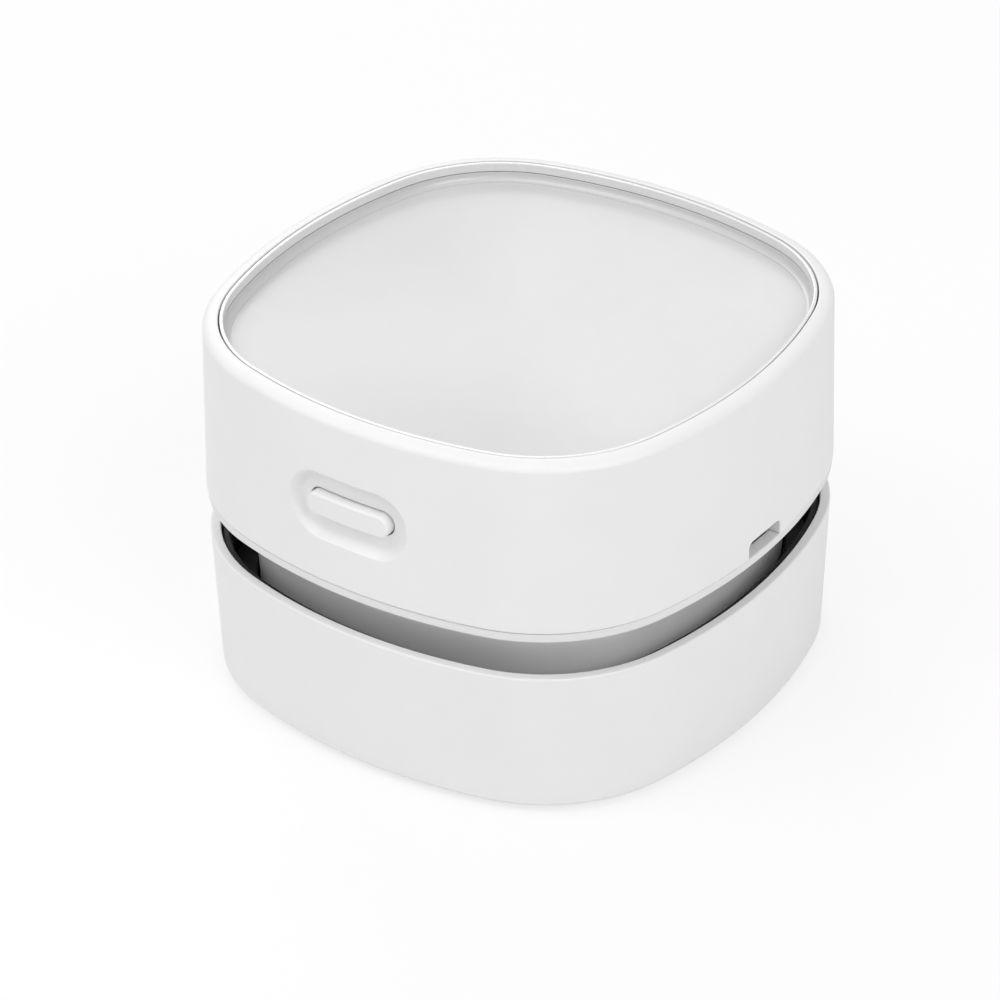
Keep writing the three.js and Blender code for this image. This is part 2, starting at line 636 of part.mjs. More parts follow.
// A pill-shaped body let into the curved front face, from [grow, depth] steps
function frontPill(length, width, steps) {
  const rings = steps.map(([grow, depth]) => pillPoints(length + 2 * grow, width + 2 * grow).map(([x, up]) =>
    new THREE.Vector3(x, frontFace(x, level.button + up, depth), level.button + up)));
  return loft(rings, false);
}

// Upper shell: the white body with its rounded rim, the button's dish, and the port's hood
function makeUpperShell() {
  const shoulderBase = level.shellTop - shell.shoulderHeight;
  const shoulder = Array.from({ length: shell.shoulderSteps + 1 }, (unused, i) => {
    const angle = quarterTurn * i / shell.shoulderSteps;
    const out = -shell.shoulderWidth * (1 - Math.cos(angle));
    return [out, shoulderBase + shell.shoulderHeight * Math.sin(angle)];
  });
  const wall = planWall([
    [shell.bottomOut, level.shellBase],
    ...shoulder,
    [-shell.shoulderWidth, level.ledgeTop],
    [-shell.shoulderWidth - shell.ledgeWidth, level.ledgeTop],
    [-shell.shoulderWidth - shell.ledgeWidth, level.ledgeBase],
    [-shell.topWall, level.ledgeBase],
    [shellInner, level.shellBase],
  ]);
  const bossBase = level.lipTop + gap.slide;
  const bossTop = (level.ledgeBase + level.ledgeTop) / 2;
  const places = cornersOf(housingScrew.inset);
  const bosses = places.map(({ x, y }) =>
    rod(housingScrew.bossRadius, bossBase, bossTop, facets.small, x, y));
  const bores = places.map(({ x, y }) =>
    rod(housingScrew.shankRadius + gap.seat, bossBase - overrun, bossBase + housingScrew.boreDepth,
      facets.screw, x, y));
  const hoodHalf = port.width / 2 + port.hoodWall;
  const hood = block(
    [hoodEnd, -hoodHalf, level.shellBase],
    [plan.halfWidth - shell.wall / 2, hoodHalf, level.shellBase + port.height + port.hoodWall]);
  const notchTop = level.shellBase + port.height;
  const round = port.corner * Math.SQRT1_2;
  const notchShape = new THREE.Shape([
    [-port.width / 2, level.shellBase - overrun],
    [port.width / 2, level.shellBase - overrun],
    [port.width / 2, notchTop - port.corner],
    [port.width / 2 - port.corner + round, notchTop - port.corner + round],
    [port.width / 2 - port.corner, notchTop],
    [-port.width / 2 + port.corner, notchTop],
    [-port.width / 2 + port.corner - round, notchTop - port.corner + round],
    [-port.width / 2, notchTop - port.corner],
  ].map(([x, y]) => new THREE.Vector2(x, y)));
  const notch = prism(notchShape, hoodEnd - overrun, plan.halfWidth + shell.bottomOut + overrun);
  notch.rotateX(quarterTurn).rotateZ(quarterTurn);
  const dishCut = frontPill(dish.length, dish.width, [
    [overrun, -overrun],
    ...dishSideShares.map(([slope, depth]) => [-dish.slope * slope, dish.depth * depth]),
  ]);
  const holeCut = frontPill(button.length + 2 * button.holeGap, button.width + 2 * button.holeGap, [
    [0, dish.depth - overrun],
    [0, shell.wall + overrun],
  ]);
  const guides = switchGuides();
  addPiece('upper_shell', cut(join(wall, ...bosses, hood, ...guides.ribs),
    ...bores, notch, dishCut, holeCut, ...guides.slots), finish.shellWhite);
}

// The switch board's place, behind the button
const boardFront = frontFace(0, level.button, shell.wall) + gap.slide + gap.seat + button.flangeThickness
  + button.stemLength + gap.slide + powerSwitch.thickness + button.travel;

// Two ribs inside the front wall, whose slots hold the switch board by its ends
function switchGuides() {
  const wallFace = frontFace(0, level.button, shell.wall / 2);
  const inner = switchBoard.width / 2 + gap.slide - guide.slotDepth;
  const low = level.button - switchBoard.drop;
  const top = low + switchBoard.height + gap.slide;
  const ribs = [];
  const slots = [];
  for (const side of [1, -1]) {
    const across = [side * inner, side * (inner + guide.thickness)].sort((a, b) => a - b);
    const reach = [side * (inner - overrun), side * (inner + guide.slotDepth)].sort((a, b) => a - b);
    ribs.push(block([across[0], wallFace, low], [across[1], wallFace + guide.depth, top + guide.capAbove]));
    slots.push(block(
      [reach[0], boardFront - gap.slide, low - overrun],
      [reach[1], boardFront + switchBoard.thickness + gap.slide, top]));
  }
  return { ribs, slots };
}

// Power button: a pill cap that follows the face, a flange that keeps it in, and a stem
function makePowerButton() {
  const face = dish.depth - button.proud;
  const flangeFace = shell.wall + gap.slide + gap.seat;
  const flangeBack = flangeFace + button.flangeThickness;
  const cap = frontPill(button.length, button.width, [
    [-button.edge, face],
    [-button.edge / 4, face + button.edge / 4],
    [0, face + button.edge],
    [0, flangeFace],
    [button.flange, flangeFace],
    [button.flange, flangeBack],
  ]);
  const stemEnd = frontFace(0, level.button, flangeBack) + button.stemLength;
  const stem = rod(button.stemRadius, frontFace(0, level.button, flangeFace), stemEnd, facets.screw);
  stem.rotateX(-quarterTurn).translate(0, 0, level.button);
  addPiece('power_button', join(cap, stem), finish.shellWhite);

  const bodyFront = boardFront - gap.seat - powerSwitch.thickness;
  const half = powerSwitch.size / 2;
  const bodyBack = boardFront - gap.seat;
  const switchBody = block([-half, bodyFront, level.button - half], [half, bodyBack, level.button + half]);
  const boreRadius = powerSwitch.plungerRadius + gap.slide;
  const bore = rod(boreRadius, bodyFront - overrun, bodyFront + powerSwitch.boreDepth, facets.screw);
  bore.rotateX(-quarterTurn).translate(0, 0, level.button);
  addPiece('power_switch', cut(solidOf(switchBody), bore), finish.chipBlack);

  const tip = stemEnd + gap.slide;
  const plunger = rod(powerSwitch.plungerRadius, tip, tip + powerSwitch.plungerLength, facets.screw);
  addPiece('switch_plunger', plunger.rotateX(-quarterTurn).translate(0, 0, level.button), finish.trimWhite);

  const low = level.button - switchBoard.drop;
  const boardBack = boardFront + switchBoard.thickness;
  addPiece('switch_board', block(
    [-switchBoard.width / 2, boardFront, low],
    [switchBoard.width / 2, boardBack, low + switchBoard.height]), finish.boardGreen);
}

// Top tray: the dished plate let into the rim, with the thin trim ring round its edge
function makeTopTray() {
  const lipInner = trayOuter - tray.lipWidth;
  const floorOuter = lipInner - tray.coveWidth;
  const floorAt = (share) => level.floorEdge - tray.dish * (1 - share ** 2);
  const cove = Array.from({ length: tray.coveSteps + 1 }, (unused, i) => {
    const angle = quarterTurn * i / tray.coveSteps;
    const across = floorOuter + tray.coveWidth * Math.cos(angle);
    return [across, level.trayLip - tray.coveHeight * Math.sin(angle)];
  });
  const rimInner = trayOuter - tray.rimWidth;
  const rimShare = (plan.halfWidth + rimInner) / (plan.halfWidth + floorOuter);
  addPiece('top_tray', planSolid([
    ...floorShares.slice(1).reverse().map((share) => [floorOuter, floorAt(share) - tray.thickness, share]),
    [rimInner, floorAt(rimShare) - tray.thickness],
    [rimInner, level.trayBase],
    [trayOuter, level.trayBase],
    [trayOuter, level.trayLip],
    ...cove,
    ...floorShares.map((share) => [floorOuter, floorAt(share), share]),
  ]), finish.trayWhite);

  const outer = -shell.shoulderWidth - trim.sideGap;
  addPiece('tray_trim_ring', planWall([
    [outer, level.trimTop - trim.height],
    [outer, level.trimTop],
    [outer - trim.width, level.trimTop],
    [outer - trim.width, level.trimTop - trim.height],
  ]), finish.trimWhite);
}

// A ring sector as a flat shape, for the ports that pass the air up through the mount
function sector(inner, outer, middle, halfAngle) {
  const shape = new THREE.Shape();
  shape.absarc(0, 0, outer, middle - halfAngle, middle + halfAngle, false);
  shape.absarc(0, 0, inner, middle + halfAngle, middle - halfAngle, true);
  shape.closePath();
  return shape;
}

// Motor mount: the plate across the neck that carries the motor above and the fan below
function makeMotorMount() {
  const plate = planSolid([[-mount.inset, level.mountBase], [-mount.inset, level.mountTop]]);
  const postTop = level.boardBase - gap.seat;
  const postPlace = socketEnd - board.length + board.postInset;
  const posts = [-board.postSpread, board.postSpread].map((y) =>
    rod(mount.postRadius, level.mountTop - mount.thickness / 2, postTop, facets.screw, postPlace, y));
  const through = (radius, sides, x = 0, y = 0) =>
    drill(radius, level.mountBase, level.mountTop, sides, x, y);
  const portOuter = plan.halfWidth - mount.inset - mount.portInset;
  const ports = portTurnShares.map((share) =>
    prism(sector(portOuter - mount.portWidth, portOuter, -Math.PI * share, mount.portHalfAngle),
      level.mountBase - overrun, level.mountTop + overrun));
  const motorHole = motorScrew.shankRadius + gap.slide;
  const mountHole = mountScrew.shankRadius + gap.slide;
  const padHole = housingScrew.padRadius + gap.slide;
  const socketCut = block(
    [socketEnd - socket.length - gap.air, -socket.width / 2 - gap.air, level.mountBase - overrun],
    [plan.halfWidth, socket.width / 2 + gap.air, level.mountTop + overrun]);
  addPiece('motor_mount', cut(
    join(plate, ...posts),
    through(motor.bossRadius + gap.slide, facets.small),
    ...[-motorScrew.place, motorScrew.place].map((x) => through(motorHole, facets.screw, x)),
    ...mountScrewPlaces.map((y) => through(mountHole, facets.screw, 0, y)),
    ...cornersOf(housingScrew.inset).map(({ x, y }) => through(padHole, facets.small, x, y)),
    ...ports,
    socketCut,
  ), finish.plateGrey);
  const headTop = level.mountTop + gap.seat + mountScrew.headHeight;
  const tip = level.bandTop - mountScrew.boreDepth + tipGap;
  ['front', 'back'].forEach((name, i) => {
    const turnedOver = geometryFrom(screw(mountScrew, 0, 0, -headTop, -tip)).rotateX(Math.PI);
    addPiece(`mount_screw_${name}`, turnedOver.translate(0, mountScrewPlaces[i], 0), finish.steel);
  });
}

// Motor: the steel can, its end cap, the two screws that hold it and the shaft
function makeMotor() {
  const boreTop = level.motorBase + motor.boreDepth;
  const bossBase = level.motorBase - motor.bossHeight;
  const can = turned([
    [0, boreTop],
    [motor.boreRadius, boreTop],
    [motor.boreRadius, bossBase],
    [motor.bossRadius, bossBase],
    [motor.bossRadius, level.motorBase],
    [motor.radius - motor.edge, level.motorBase],
    [motor.radius, level.motorBase + motor.edge],
    [motor.radius, level.motorTop - motor.edge],
    [motor.radius - motor.edge, level.motorTop],
    [0, level.motorTop],
  ], facets.large);
  const screwBase = level.mountBase - gap.seat - motorScrew.headHeight;
  const boreEnd = level.motorBase + motorScrew.boreDepth;
  const places = [['left', -motorScrew.place], ['right', motorScrew.place]];
  const boreRadius = motorScrew.shankRadius + gap.seat;
  const bores = places.map(([name, x]) =>
    rod(boreRadius, level.motorBase - overrun, boreEnd, facets.screw, x));
  addPiece('motor_can', cut(solidOf(can), ...bores), finish.steel);
  places.forEach(([name, x]) =>
    addPiece(`motor_screw_${name}`, screw(motorScrew, x, 0, screwBase, boreEnd - gap.slide), finish.steel));

  const capBase = level.motorTop + gap.seat;
  const cap = turned([
    [0, capBase],
    [motor.capRadius, capBase],
    [motor.capRadius, level.endCapTop],
    [motor.bearingRadius, level.endCapTop],
    [motor.bearingRadius, level.bearingTop],
    [0, level.bearingTop],
  ], facets.small);
  const tabPlace = (motor.capRadius + motor.bearingRadius) / 2;
  const tabs = [-tabPlace, tabPlace].map((y) => block(
    [-motor.tab / 2, y - motor.tab / 4, capBase + motor.capHeight / 2],
    [motor.tab / 2, y + motor.tab / 4, level.bearingTop]));
  addPiece('motor_end_cap', join(cap, ...tabs), finish.chipBlack);
  const shaftBase = level.fanBase + shaft.noseGap;
  const shaftTop = level.motorBase + shaft.above;
  addPiece('motor_shaft', rod(shaft.radius, shaftBase, shaftTop, facets.screw), finish.steel);
}

// One backward-curved fan blade as a flat shape: its mean line turns as it runs outwards
function bladeShape() {
  const line = (side) => Array.from({ length: fan.bladeSteps + 1 }, (unused, i) => {
    const share = i / fan.bladeSteps;
    const radius = fan.bladeInner + (fanRadius - fan.bladeInner) * share;
    const angle = fan.bladeSweep * share + side * fan.bladeThickness / 2 / radius;
    return polar(axis, radius, angle);
  });
  return new THREE.Shape([...line(-1), ...line(1).reverse()]);
}

// Fan: a backplate with a hub and curved blades that hang down to the inlet
function makeFan() {
  const plateBase = level.fanTop - fan.plate;
  const hubBase = level.fanBase + fan.hubRecess;
  const disc = turned([
    [0, hubBase],
    [fan.hubRadius - fan.plate, hubBase],
    [fan.hubRadius, hubBase + fan.plate],
    [fan.hubRadius, plateBase],
    [fanRadius, plateBase],
    [fanRadius, level.fanTop],
    [0, level.fanTop],
  ], facets.large);
  let wheel = solidOf(disc);
  for (let i = 0; i < fan.blades; i++) {
    const blade = prism(bladeShape(), level.fanBase, level.fanTop - fan.plate / 2);
    wheel = wheel.add(solidOf(blade.rotateZ(2 * Math.PI * i / fan.blades)));
  }
  const bore = rod(fan.hubBore, hubBase - overrun, level.fanTop + overrun, facets.screw);
  addPiece('fan_impeller', cut(wheel, bore), finish.fanBlue);
}

// Fan shroud: the plate under the fan, with the rounded lip that leads the air into it
function makeShroud() {
  const top = level.shroudTop;
  const plate = planSolid([[-shroud.inset, level.shroudBase], [-shroud.inset, top]]);
  const lip = rod(shroud.inletRadius + shroud.lipWidth, top - shroud.thickness / 2, top + shroud.lipHeight,
    facets.large);
  const inlet = turned([
    [0, level.shroudBase - overrun],
    [shroud.inletRadius + shroud.lipWidth, level.shroudBase - overrun],
    [shroud.inletRadius, level.shroudBase + shroud.thickness / 2],
    [shroud.inletRadius, top + shroud.lipHeight + overrun],
    [0, top + shroud.lipHeight + overrun],
  ], facets.large);
  addPiece('fan_shroud', cut(join(plate, lip), inlet), finish.plateGrey);
}

// Filter: a basket with a slotted floor that plugs into the neck, and the foam pad in it
function makeFilter() {
  const floorTop = level.filterBase + filter.floor;
  const floorEdge = -filter.inset - filter.wall / 2;
  const floor = planSolid([[floorEdge, level.filterBase], [floorEdge, floorTop]]);
  const openEdge = -filter.inset - filter.wall - gap.slide;
  const openLow = level.filterBase - overrun;
  const openHigh = floorTop + overrun;
  const reach = plan.halfWidth;
  const half = filter.ribWidth / 2;
  const ribs = [block([-half, -reach, openLow - overrun], [half, reach, openHigh + overrun])];
  const rows = Math.floor((reach - filter.inset) / filter.pitch);
  for (let row = -rows; row <= rows; row++) {
    const middle = row * filter.pitch;
    ribs.push(block([-reach, middle - half, openLow - overrun], [reach, middle + half, openHigh + overrun]));
  }
  const slots = cut(solidOf(planSolid([[openEdge, openLow], [openEdge, openHigh]])), ...ribs);
  const wall = planWall([
    [-filter.inset, level.filterBase],
    [-filter.inset, level.filterBase + filter.height],
    [-filter.inset - filter.wall, level.filterBase + filter.height],
    [-filter.inset - filter.wall, level.filterBase],
  ]);
  addPiece('filter_frame', join(wall, floor).subtract(slots), finish.plateGrey);
  const foamEdge = -filter.inset - filter.wall - gap.slide;
  const foamBase = floorTop + gap.seat;
  addPiece('filter_foam', planSolid([[foamEdge, foamBase], [foamEdge, foamBase + filter.foamHeight]]),
    finish.foamBlack);
}

// The cell is the largest that fits behind the motor, under the tray and between the screw bosses
const holderWall = holder.side + gap.slide;
const cellFront = motor.radius + battery.motorGap + holderWall;
const cellBack = plan.halfWidth - mountScrew.inset - mountScrew.headRadius - battery.screwGap - holderWall;
const cellRadius = Math.min(cellBack - cellFront, level.motorTop - level.motorBase - battery.drop) / 2;
const cell = {
  radius: cellRadius,
  place: cellFront + cellRadius,
  centre: level.motorBase + holder.base + gap.slide + cellRadius,
  half: cornerPlace(housingScrew.inset).x - housingScrew.padRadius - battery.bossGap - holder.end - gap.slide,
};

// Battery: a round cell lying in a holder behind the motor
function makeBattery() {
  const { half } = cell;
  const body = turned([
    [0, -half],
    [cell.radius, -half],
    [cell.radius, half - battery.nubHeight],
    [battery.nubRadius, half - battery.nubHeight],
    [battery.nubRadius, half],
    [0, half],
  ], facets.small);
  body.rotateY(quarterTurn).translate(0, cell.place, cell.centre);
  addPiece('battery_cell', body, finish.cellBlue);

  const reach = half + gap.slide + holder.end;
  const grooveRadius = cell.radius + gap.slide;
  const side = grooveRadius + holder.side;
  const trough = block(
    [-reach, cell.place - side, level.motorBase],
    [reach, cell.place + side, cell.centre]);
  const groove = rod(grooveRadius, -half - gap.slide, half + gap.slide, facets.small);
  groove.rotateY(quarterTurn).translate(0, cell.place, cell.centre);
  addPiece('battery_holder', cut(solidOf(trough), groove), finish.chipBlack);
}

// Control board, and the charging socket that hangs under it with its mouth at the end of the hood
function makeControlBoard() {
  const boardTop = level.boardBase + board.thickness;
  const right = socketEnd;
  const left = right - board.length;
  const plate = block([left, -board.width / 2, level.boardBase], [right, board.width / 2, boardTop]);
  const chipPlace = left + chip.length;
  const controller = block(
    [chipPlace, -chip.width / 2, boardTop - board.thickness / 2],
    [chipPlace + chip.length, chip.width / 2, boardTop + chip.height]);
  const coil = rod(chip.coilRadius, boardTop - board.thickness / 2, boardTop + chip.coilHeight, facets.screw,
    chipPlace + chip.length / 2, -chip.width - chip.coilRadius);
  addPiece('control_board', join(plate, controller, coil), finish.boardGreen);

  const top = level.boardBase - gap.seat;
  const half = socket.width / 2;
  const mouth = (inset) => {
    const low = top - socket.height + inset;
    return new THREE.Shape([
      [-half + inset + socket.chamfer, low],
      [half - inset - socket.chamfer, low],
      [half - inset, low + socket.chamfer],
      [half - inset, top - inset],
      [-half + inset, top - inset],
      [-half + inset, low + socket.chamfer],
    ].map(([x, y]) => new THREE.Vector2(x, y)));
  };
  const stand = (shape, from, to) => prism(shape, from, to).rotateX(quarterTurn).rotateZ(quarterTurn);
  const back = socketEnd - socket.length;
  const shellBody = cut(
    solidOf(stand(mouth(0), back, socketEnd)),
    stand(mouth(socket.wall), back - overrun, socketEnd + overrun));
  addPiece('charge_socket', shellBody, finish.steel);
  const fill = socket.wall + gap.seat;
  const insert = stand(mouth(fill), back, back + socket.block);
  const tongueTop = top - fill - socket.wall;
  const tongueHalf = half - fill - socket.chamfer;
  const tongue = block(
    [back + socket.block / 2, -tongueHalf, tongueTop - socket.tongue / 2],
    [socketEnd - socket.wall, tongueHalf, tongueTop]);
  addPiece('socket_insert', join(insert, tongue), finish.chipBlack);
}

// A flat pair of wires along a curve through hand-placed points
function twinLead(name, points, look) {
  const section = new THREE.Shape();
  const centre = lead.radius + lead.web / 2;
  const start = lead.webTurn - quarterTurn;
  section.absarc(0, centre, lead.radius, start, Math.PI - start, false);
  section.absarc(0, -centre, lead.radius, start + Math.PI, 2 * Math.PI - start, false);
  const path = new THREE.CatmullRomCurve3(points);
  const geometry = new THREE.ExtrudeGeometry(section, {
    steps: lead.steps, curveSegments: lead.sides, extrudePath: path, bevelEnabled: false,
  });
  addPiece(name, weld(geometry), look);
}

// The leads from the motor, the battery and the switch board to the control board
function makeLeads() {
  const { bend } = lead;
  const landing = level.boardBase + board.thickness + gap.slide + 2 * lead.radius;
  const boardLeft = socketEnd - board.length;
  const inward = boardLeft + bend / 2;
  const edge = board.width / 2 - bend;
  const capLevel = level.endCapTop + gap.air + 2 * lead.radius;
  twinLead('motor_leads', [
    new THREE.Vector3(motor.bearingRadius + gap.air, 0, capLevel),
    new THREE.Vector3(motor.radius, 0, capLevel),
    new THREE.Vector3(boardLeft - bend / 2, 0, (landing + capLevel) / 2),
    new THREE.Vector3(boardLeft, 0, landing + bend / 2),
    new THREE.Vector3(inward, 0, landing),
  ], finish.wireRed);
  const holderEnd = cell.half + gap.slide + holder.end + gap.slide;
  const holderLevel = cell.centre - cell.radius / 2;
  twinLead('battery_leads', [
    new THREE.Vector3(holderEnd, cell.place, holderLevel),
    new THREE.Vector3(holderEnd + bend, cell.place, holderLevel),
    new THREE.Vector3(holderEnd + bend, edge + bend, holderLevel),
    new THREE.Vector3(holderEnd + bend, edge, landing),
  ], finish.wireRed);
  const boardBack = boardFront + switchBoard.thickness + gap.slide;
  const switchLow = level.button - switchBoard.drop + 2 * lead.radius;
  twinLead('switch_leads', [
    new THREE.Vector3(switchBoard.width / 4, boardBack, switchLow),
    new THREE.Vector3(switchBoard.width / 4, boardBack + bend, switchLow),
    new THREE.Vector3(boardLeft - bend, -edge - bend, landing + bend / 2),
    new THREE.Vector3(inward, -edge, landing),
  ], finish.wireRed);
}

makeLowerShell();
makeDustCup();
makeCupCollar();
makeNozzle();
makeBrushPlate();
makeBrushStrips();
makeNeckChassis();
makeUpperShell();
makeTopTray();
makePowerButton();
makeMotorMount();
makeMotor();
makeFan();
makeShroud();
makeFilter();
makeBattery();
makeControlBoard();
makeLeads();

export default vacuum;
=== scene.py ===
# %% [markdown]
# # A desktop mini vacuum cleaner
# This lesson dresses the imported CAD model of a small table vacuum. The CAD model is the fixed frame: it
# says where every piece is. Here each piece that can be seen is modelled again with finer edges, and
# every piece gets a finish. Blender works in metres, so a millimetre is written as MM.

# %% The frame
import json
import math
import random

import bmesh
import bpy
from mathutils import Matrix, Vector

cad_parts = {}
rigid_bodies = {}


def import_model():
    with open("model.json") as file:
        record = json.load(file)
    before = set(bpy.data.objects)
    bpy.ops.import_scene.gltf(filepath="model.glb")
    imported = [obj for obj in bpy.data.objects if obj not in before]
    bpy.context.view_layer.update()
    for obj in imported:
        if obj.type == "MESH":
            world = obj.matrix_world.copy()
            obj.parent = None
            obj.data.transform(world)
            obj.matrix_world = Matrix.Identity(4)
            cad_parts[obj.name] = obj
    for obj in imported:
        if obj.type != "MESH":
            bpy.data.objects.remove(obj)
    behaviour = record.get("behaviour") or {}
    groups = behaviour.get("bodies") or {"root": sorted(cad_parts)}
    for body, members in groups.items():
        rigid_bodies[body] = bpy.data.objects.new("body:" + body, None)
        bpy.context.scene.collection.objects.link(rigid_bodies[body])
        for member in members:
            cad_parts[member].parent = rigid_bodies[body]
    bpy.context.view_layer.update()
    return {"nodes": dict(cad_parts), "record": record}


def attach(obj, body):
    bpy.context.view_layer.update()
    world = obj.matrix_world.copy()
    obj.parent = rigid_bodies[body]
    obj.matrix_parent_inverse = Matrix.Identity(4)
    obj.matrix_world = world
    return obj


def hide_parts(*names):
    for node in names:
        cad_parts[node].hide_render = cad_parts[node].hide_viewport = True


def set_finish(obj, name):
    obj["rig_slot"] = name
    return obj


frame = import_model()
MM = 0.001

# %% [markdown]
# ## Camera
# The photograph looks down on the front right corner from far away with a long lens. The camera is
# placed by turning and tipping it round a target near the middle of the body. A long lens keeps the
# far rim almost as wide as the near one.

# %% Camera
TURN, TIP, ROLL = math.radians(35.87), math.radians(32.51), -0.01433
DISTANCE, LENS = 0.57896, 140.49
TARGET_HEIGHT, SHIFT_RIGHT, SHIFT_UP = 0.0304, -0.00318, -0.00536
back = Vector((math.sin(TURN) * math.cos(TIP), -math.cos(TURN) * math.cos(TIP), math.sin(TIP)))
level_right = Vector((math.cos(TURN), math.sin(TURN), 0))
level_up = back.cross(level_right)
right = level_right * math.cos(ROLL) + level_up * math.sin(ROLL)
up = level_up * math.cos(ROLL) - level_right * math.sin(ROLL)
target = Vector((0, 0, TARGET_HEIGHT)) + right * SHIFT_RIGHT + up * SHIFT_UP
camera_data = bpy.data.cameras.new("camera")
camera_data.lens, camera_data.sensor_width = LENS, 36
camera = bpy.data.objects.new("camera", camera_data)
bpy.context.scene.collection.objects.link(camera)
camera.matrix_world = Matrix.Translation(target + back * DISTANCE) @ Matrix((right, up, back)).transposed().to_4x4()
bpy.context.scene.camera = camera
print("camera at", [round(value, 4) for value in camera.matrix_world.translation])

# %% [markdown]
# ## The outline that all the big pieces share
# Seen from above, the body is a rounded square of eight arcs: four wide side arcs joined by four corner
# arcs. Each arc has its own centre, so a cross-section that is spun round one centre after another
# makes a wall whose thickness stays true all the way round. Scaling a square would not do that.

# %% Outline
HALF_WIDTH, SIDE_RADIUS, CORNER_RADIUS = 42 * MM, 79.6 * MM, 25.75 * MM
side_centre = HALF_WIDTH - SIDE_RADIUS
corner_reach = SIDE_RADIUS - CORNER_RADIUS
corner_centre = (side_centre + math.sqrt(2 * corner_reach ** 2 - side_centre ** 2)) / 2
side_turn = math.atan2(corner_centre, corner_centre - side_centre)
corner_turn = math.pi / 2 - 2 * side_turn
QUARTER = math.pi / 2
SIDE_STEPS, CORNER_STEPS = 24, 20
print("side arc turns", round(math.degrees(2 * side_turn), 2), "and corner arc", round(math.degrees(corner_turn), 2))


def quarter_turned(x, y, quarter):
    angle = quarter * QUARTER
    return Vector((x * math.cos(angle) - y * math.sin(angle), x * math.sin(angle) + y * math.cos(angle), 0))


def corner_spot(inset):
    """How far along X and Y the diagonal of a corner is at an inset from the outline, in millimetres."""
    return corner_centre / MM + (CORNER_RADIUS / MM - inset) * math.sqrt(0.5)


def outline_offset(place):
    """How far a place lies outside the outline, which is negative inside it."""
    quarter = round(math.atan2(place.y, place.x) / QUARTER)
    point = quarter_turned(place.x, place.y, -quarter)
    if abs(math.atan2(point.y, point.x - side_centre)) <= side_turn:
        return math.hypot(point.x - side_centre, point.y) - SIDE_RADIUS
    return math.hypot(point.x - corner_centre, abs(point.y) - corner_centre) - CORNER_RADIUS


# %% [markdown]
# ## Drawing with a single point
# A piece starts from a tiny plane whose corners are merged to one point. The point is extruded from
# corner to corner, like a pen that draws a line. The finished line is then swept along the outline,
# turned about an upright axis, or filled and extruded. Small helpers keep each later cell short.

# %% Helpers for drawing
def object_mode():
    if bpy.context.object and bpy.context.object.mode != "OBJECT":
        bpy.ops.object.mode_set(mode="OBJECT")


def start_at(name, x, y, z):
    object_mode()
    bpy.ops.object.select_all(action="DESELECT")
    bpy.ops.mesh.primitive_plane_add(size=MM, location=(x, y, z))
    piece = bpy.context.object
    piece.name = piece.data.name = name
    bpy.ops.object.transform_apply(location=True, rotation=True, scale=True)
    bpy.ops.object.mode_set(mode="EDIT")
    bpy.ops.mesh.select_mode(type="VERT")
    bpy.ops.mesh.select_all(action="SELECT")
    bpy.ops.mesh.merge(type="CENTER")
    return piece


def extrude_by(x=0.0, y=0.0, z=0.0):
    bpy.ops.mesh.extrude_region_move(TRANSFORM_OT_translate={"value": (x, y, z)})


def draw_line(name, corners, closed=False):
    """Draws a line through (x, y, z) corners, given in millimetres."""
    places = [Vector(corner) * MM for corner in corners]
    if closed:
        places.append(places[0])
    piece = start_at(name, *places[0])
    for here, there in zip(places, places[1:]):
        extrude_by(*(there - here))
    bpy.ops.mesh.select_all(action="SELECT")
    bpy.ops.mesh.remove_doubles(threshold=MM / 1000)
    return piece


def draw_section(name, points, closed=True):
    """Draws a cross-section over the +X side from (offset from the outline, height) points."""
    return draw_line(name, [(HALF_WIDTH / MM + offset, 0, z) for offset, z in points], closed)


def tidy_mesh():
    bpy.ops.mesh.select_mode(type="VERT")
    bpy.ops.mesh.select_all(action="SELECT")
    bpy.ops.mesh.remove_doubles(threshold=MM / 1000)
    bpy.ops.mesh.normals_make_consistent(inside=False)


def sweep_outline(front_steps=SIDE_STEPS):
    """Spins what is drawn round the arcs of the outline, one after another, until it closes."""
    bpy.ops.mesh.select_all(action="SELECT")
    arcs = [(quarter_turned(side_centre, 0, 0), side_turn, SIDE_STEPS // 2)]
    for quarter in range(4):
        arcs.append((quarter_turned(corner_centre, corner_centre, quarter), corner_turn, CORNER_STEPS))
        last = quarter == 3
        steps = front_steps if quarter == 2 else SIDE_STEPS
        arcs.append((quarter_turned(side_centre, 0, quarter + 1),
                     side_turn if last else 2 * side_turn, SIDE_STEPS // 2 if last else steps))
    for centre, turn, steps in arcs:
        bpy.ops.mesh.spin(steps=steps, angle=-turn, center=centre, axis=(0, 0, 1), use_auto_merge=False)
    tidy_mesh()


def turned_piece(name, profile, steps, x=0.0, y=0.0):
    """Turns a line of (radius, height) points about an upright axis."""
    piece = draw_line(name, [(x + radius, y, z) for radius, z in profile])
    bpy.ops.mesh.spin(steps=steps, angle=2 * math.pi, center=(x * MM, y * MM, 0), axis=(0, 0, 1),
                      use_auto_merge=False)
    tidy_mesh()
    return piece


def slab(name, corners, y=0.0, z=0.0, round_off=0.0, taper=None):
    """Fills an outline and extrudes it. round_off rounds the outline's corners, in millimetres."""
    piece = draw_line(name, corners, closed=True)
    bpy.ops.mesh.edge_face_add()
    if round_off:
        bpy.ops.mesh.bevel(affect="VERTICES", offset=round_off * MM, segments=5)
        bpy.ops.mesh.select_all(action="SELECT")
    extrude_by(y=y * MM, z=z * MM)
    if taper:
        bpy.ops.transform.resize(value=taper[0], center_override=[value * MM for value in taper[1]])
    tidy_mesh()
    return piece


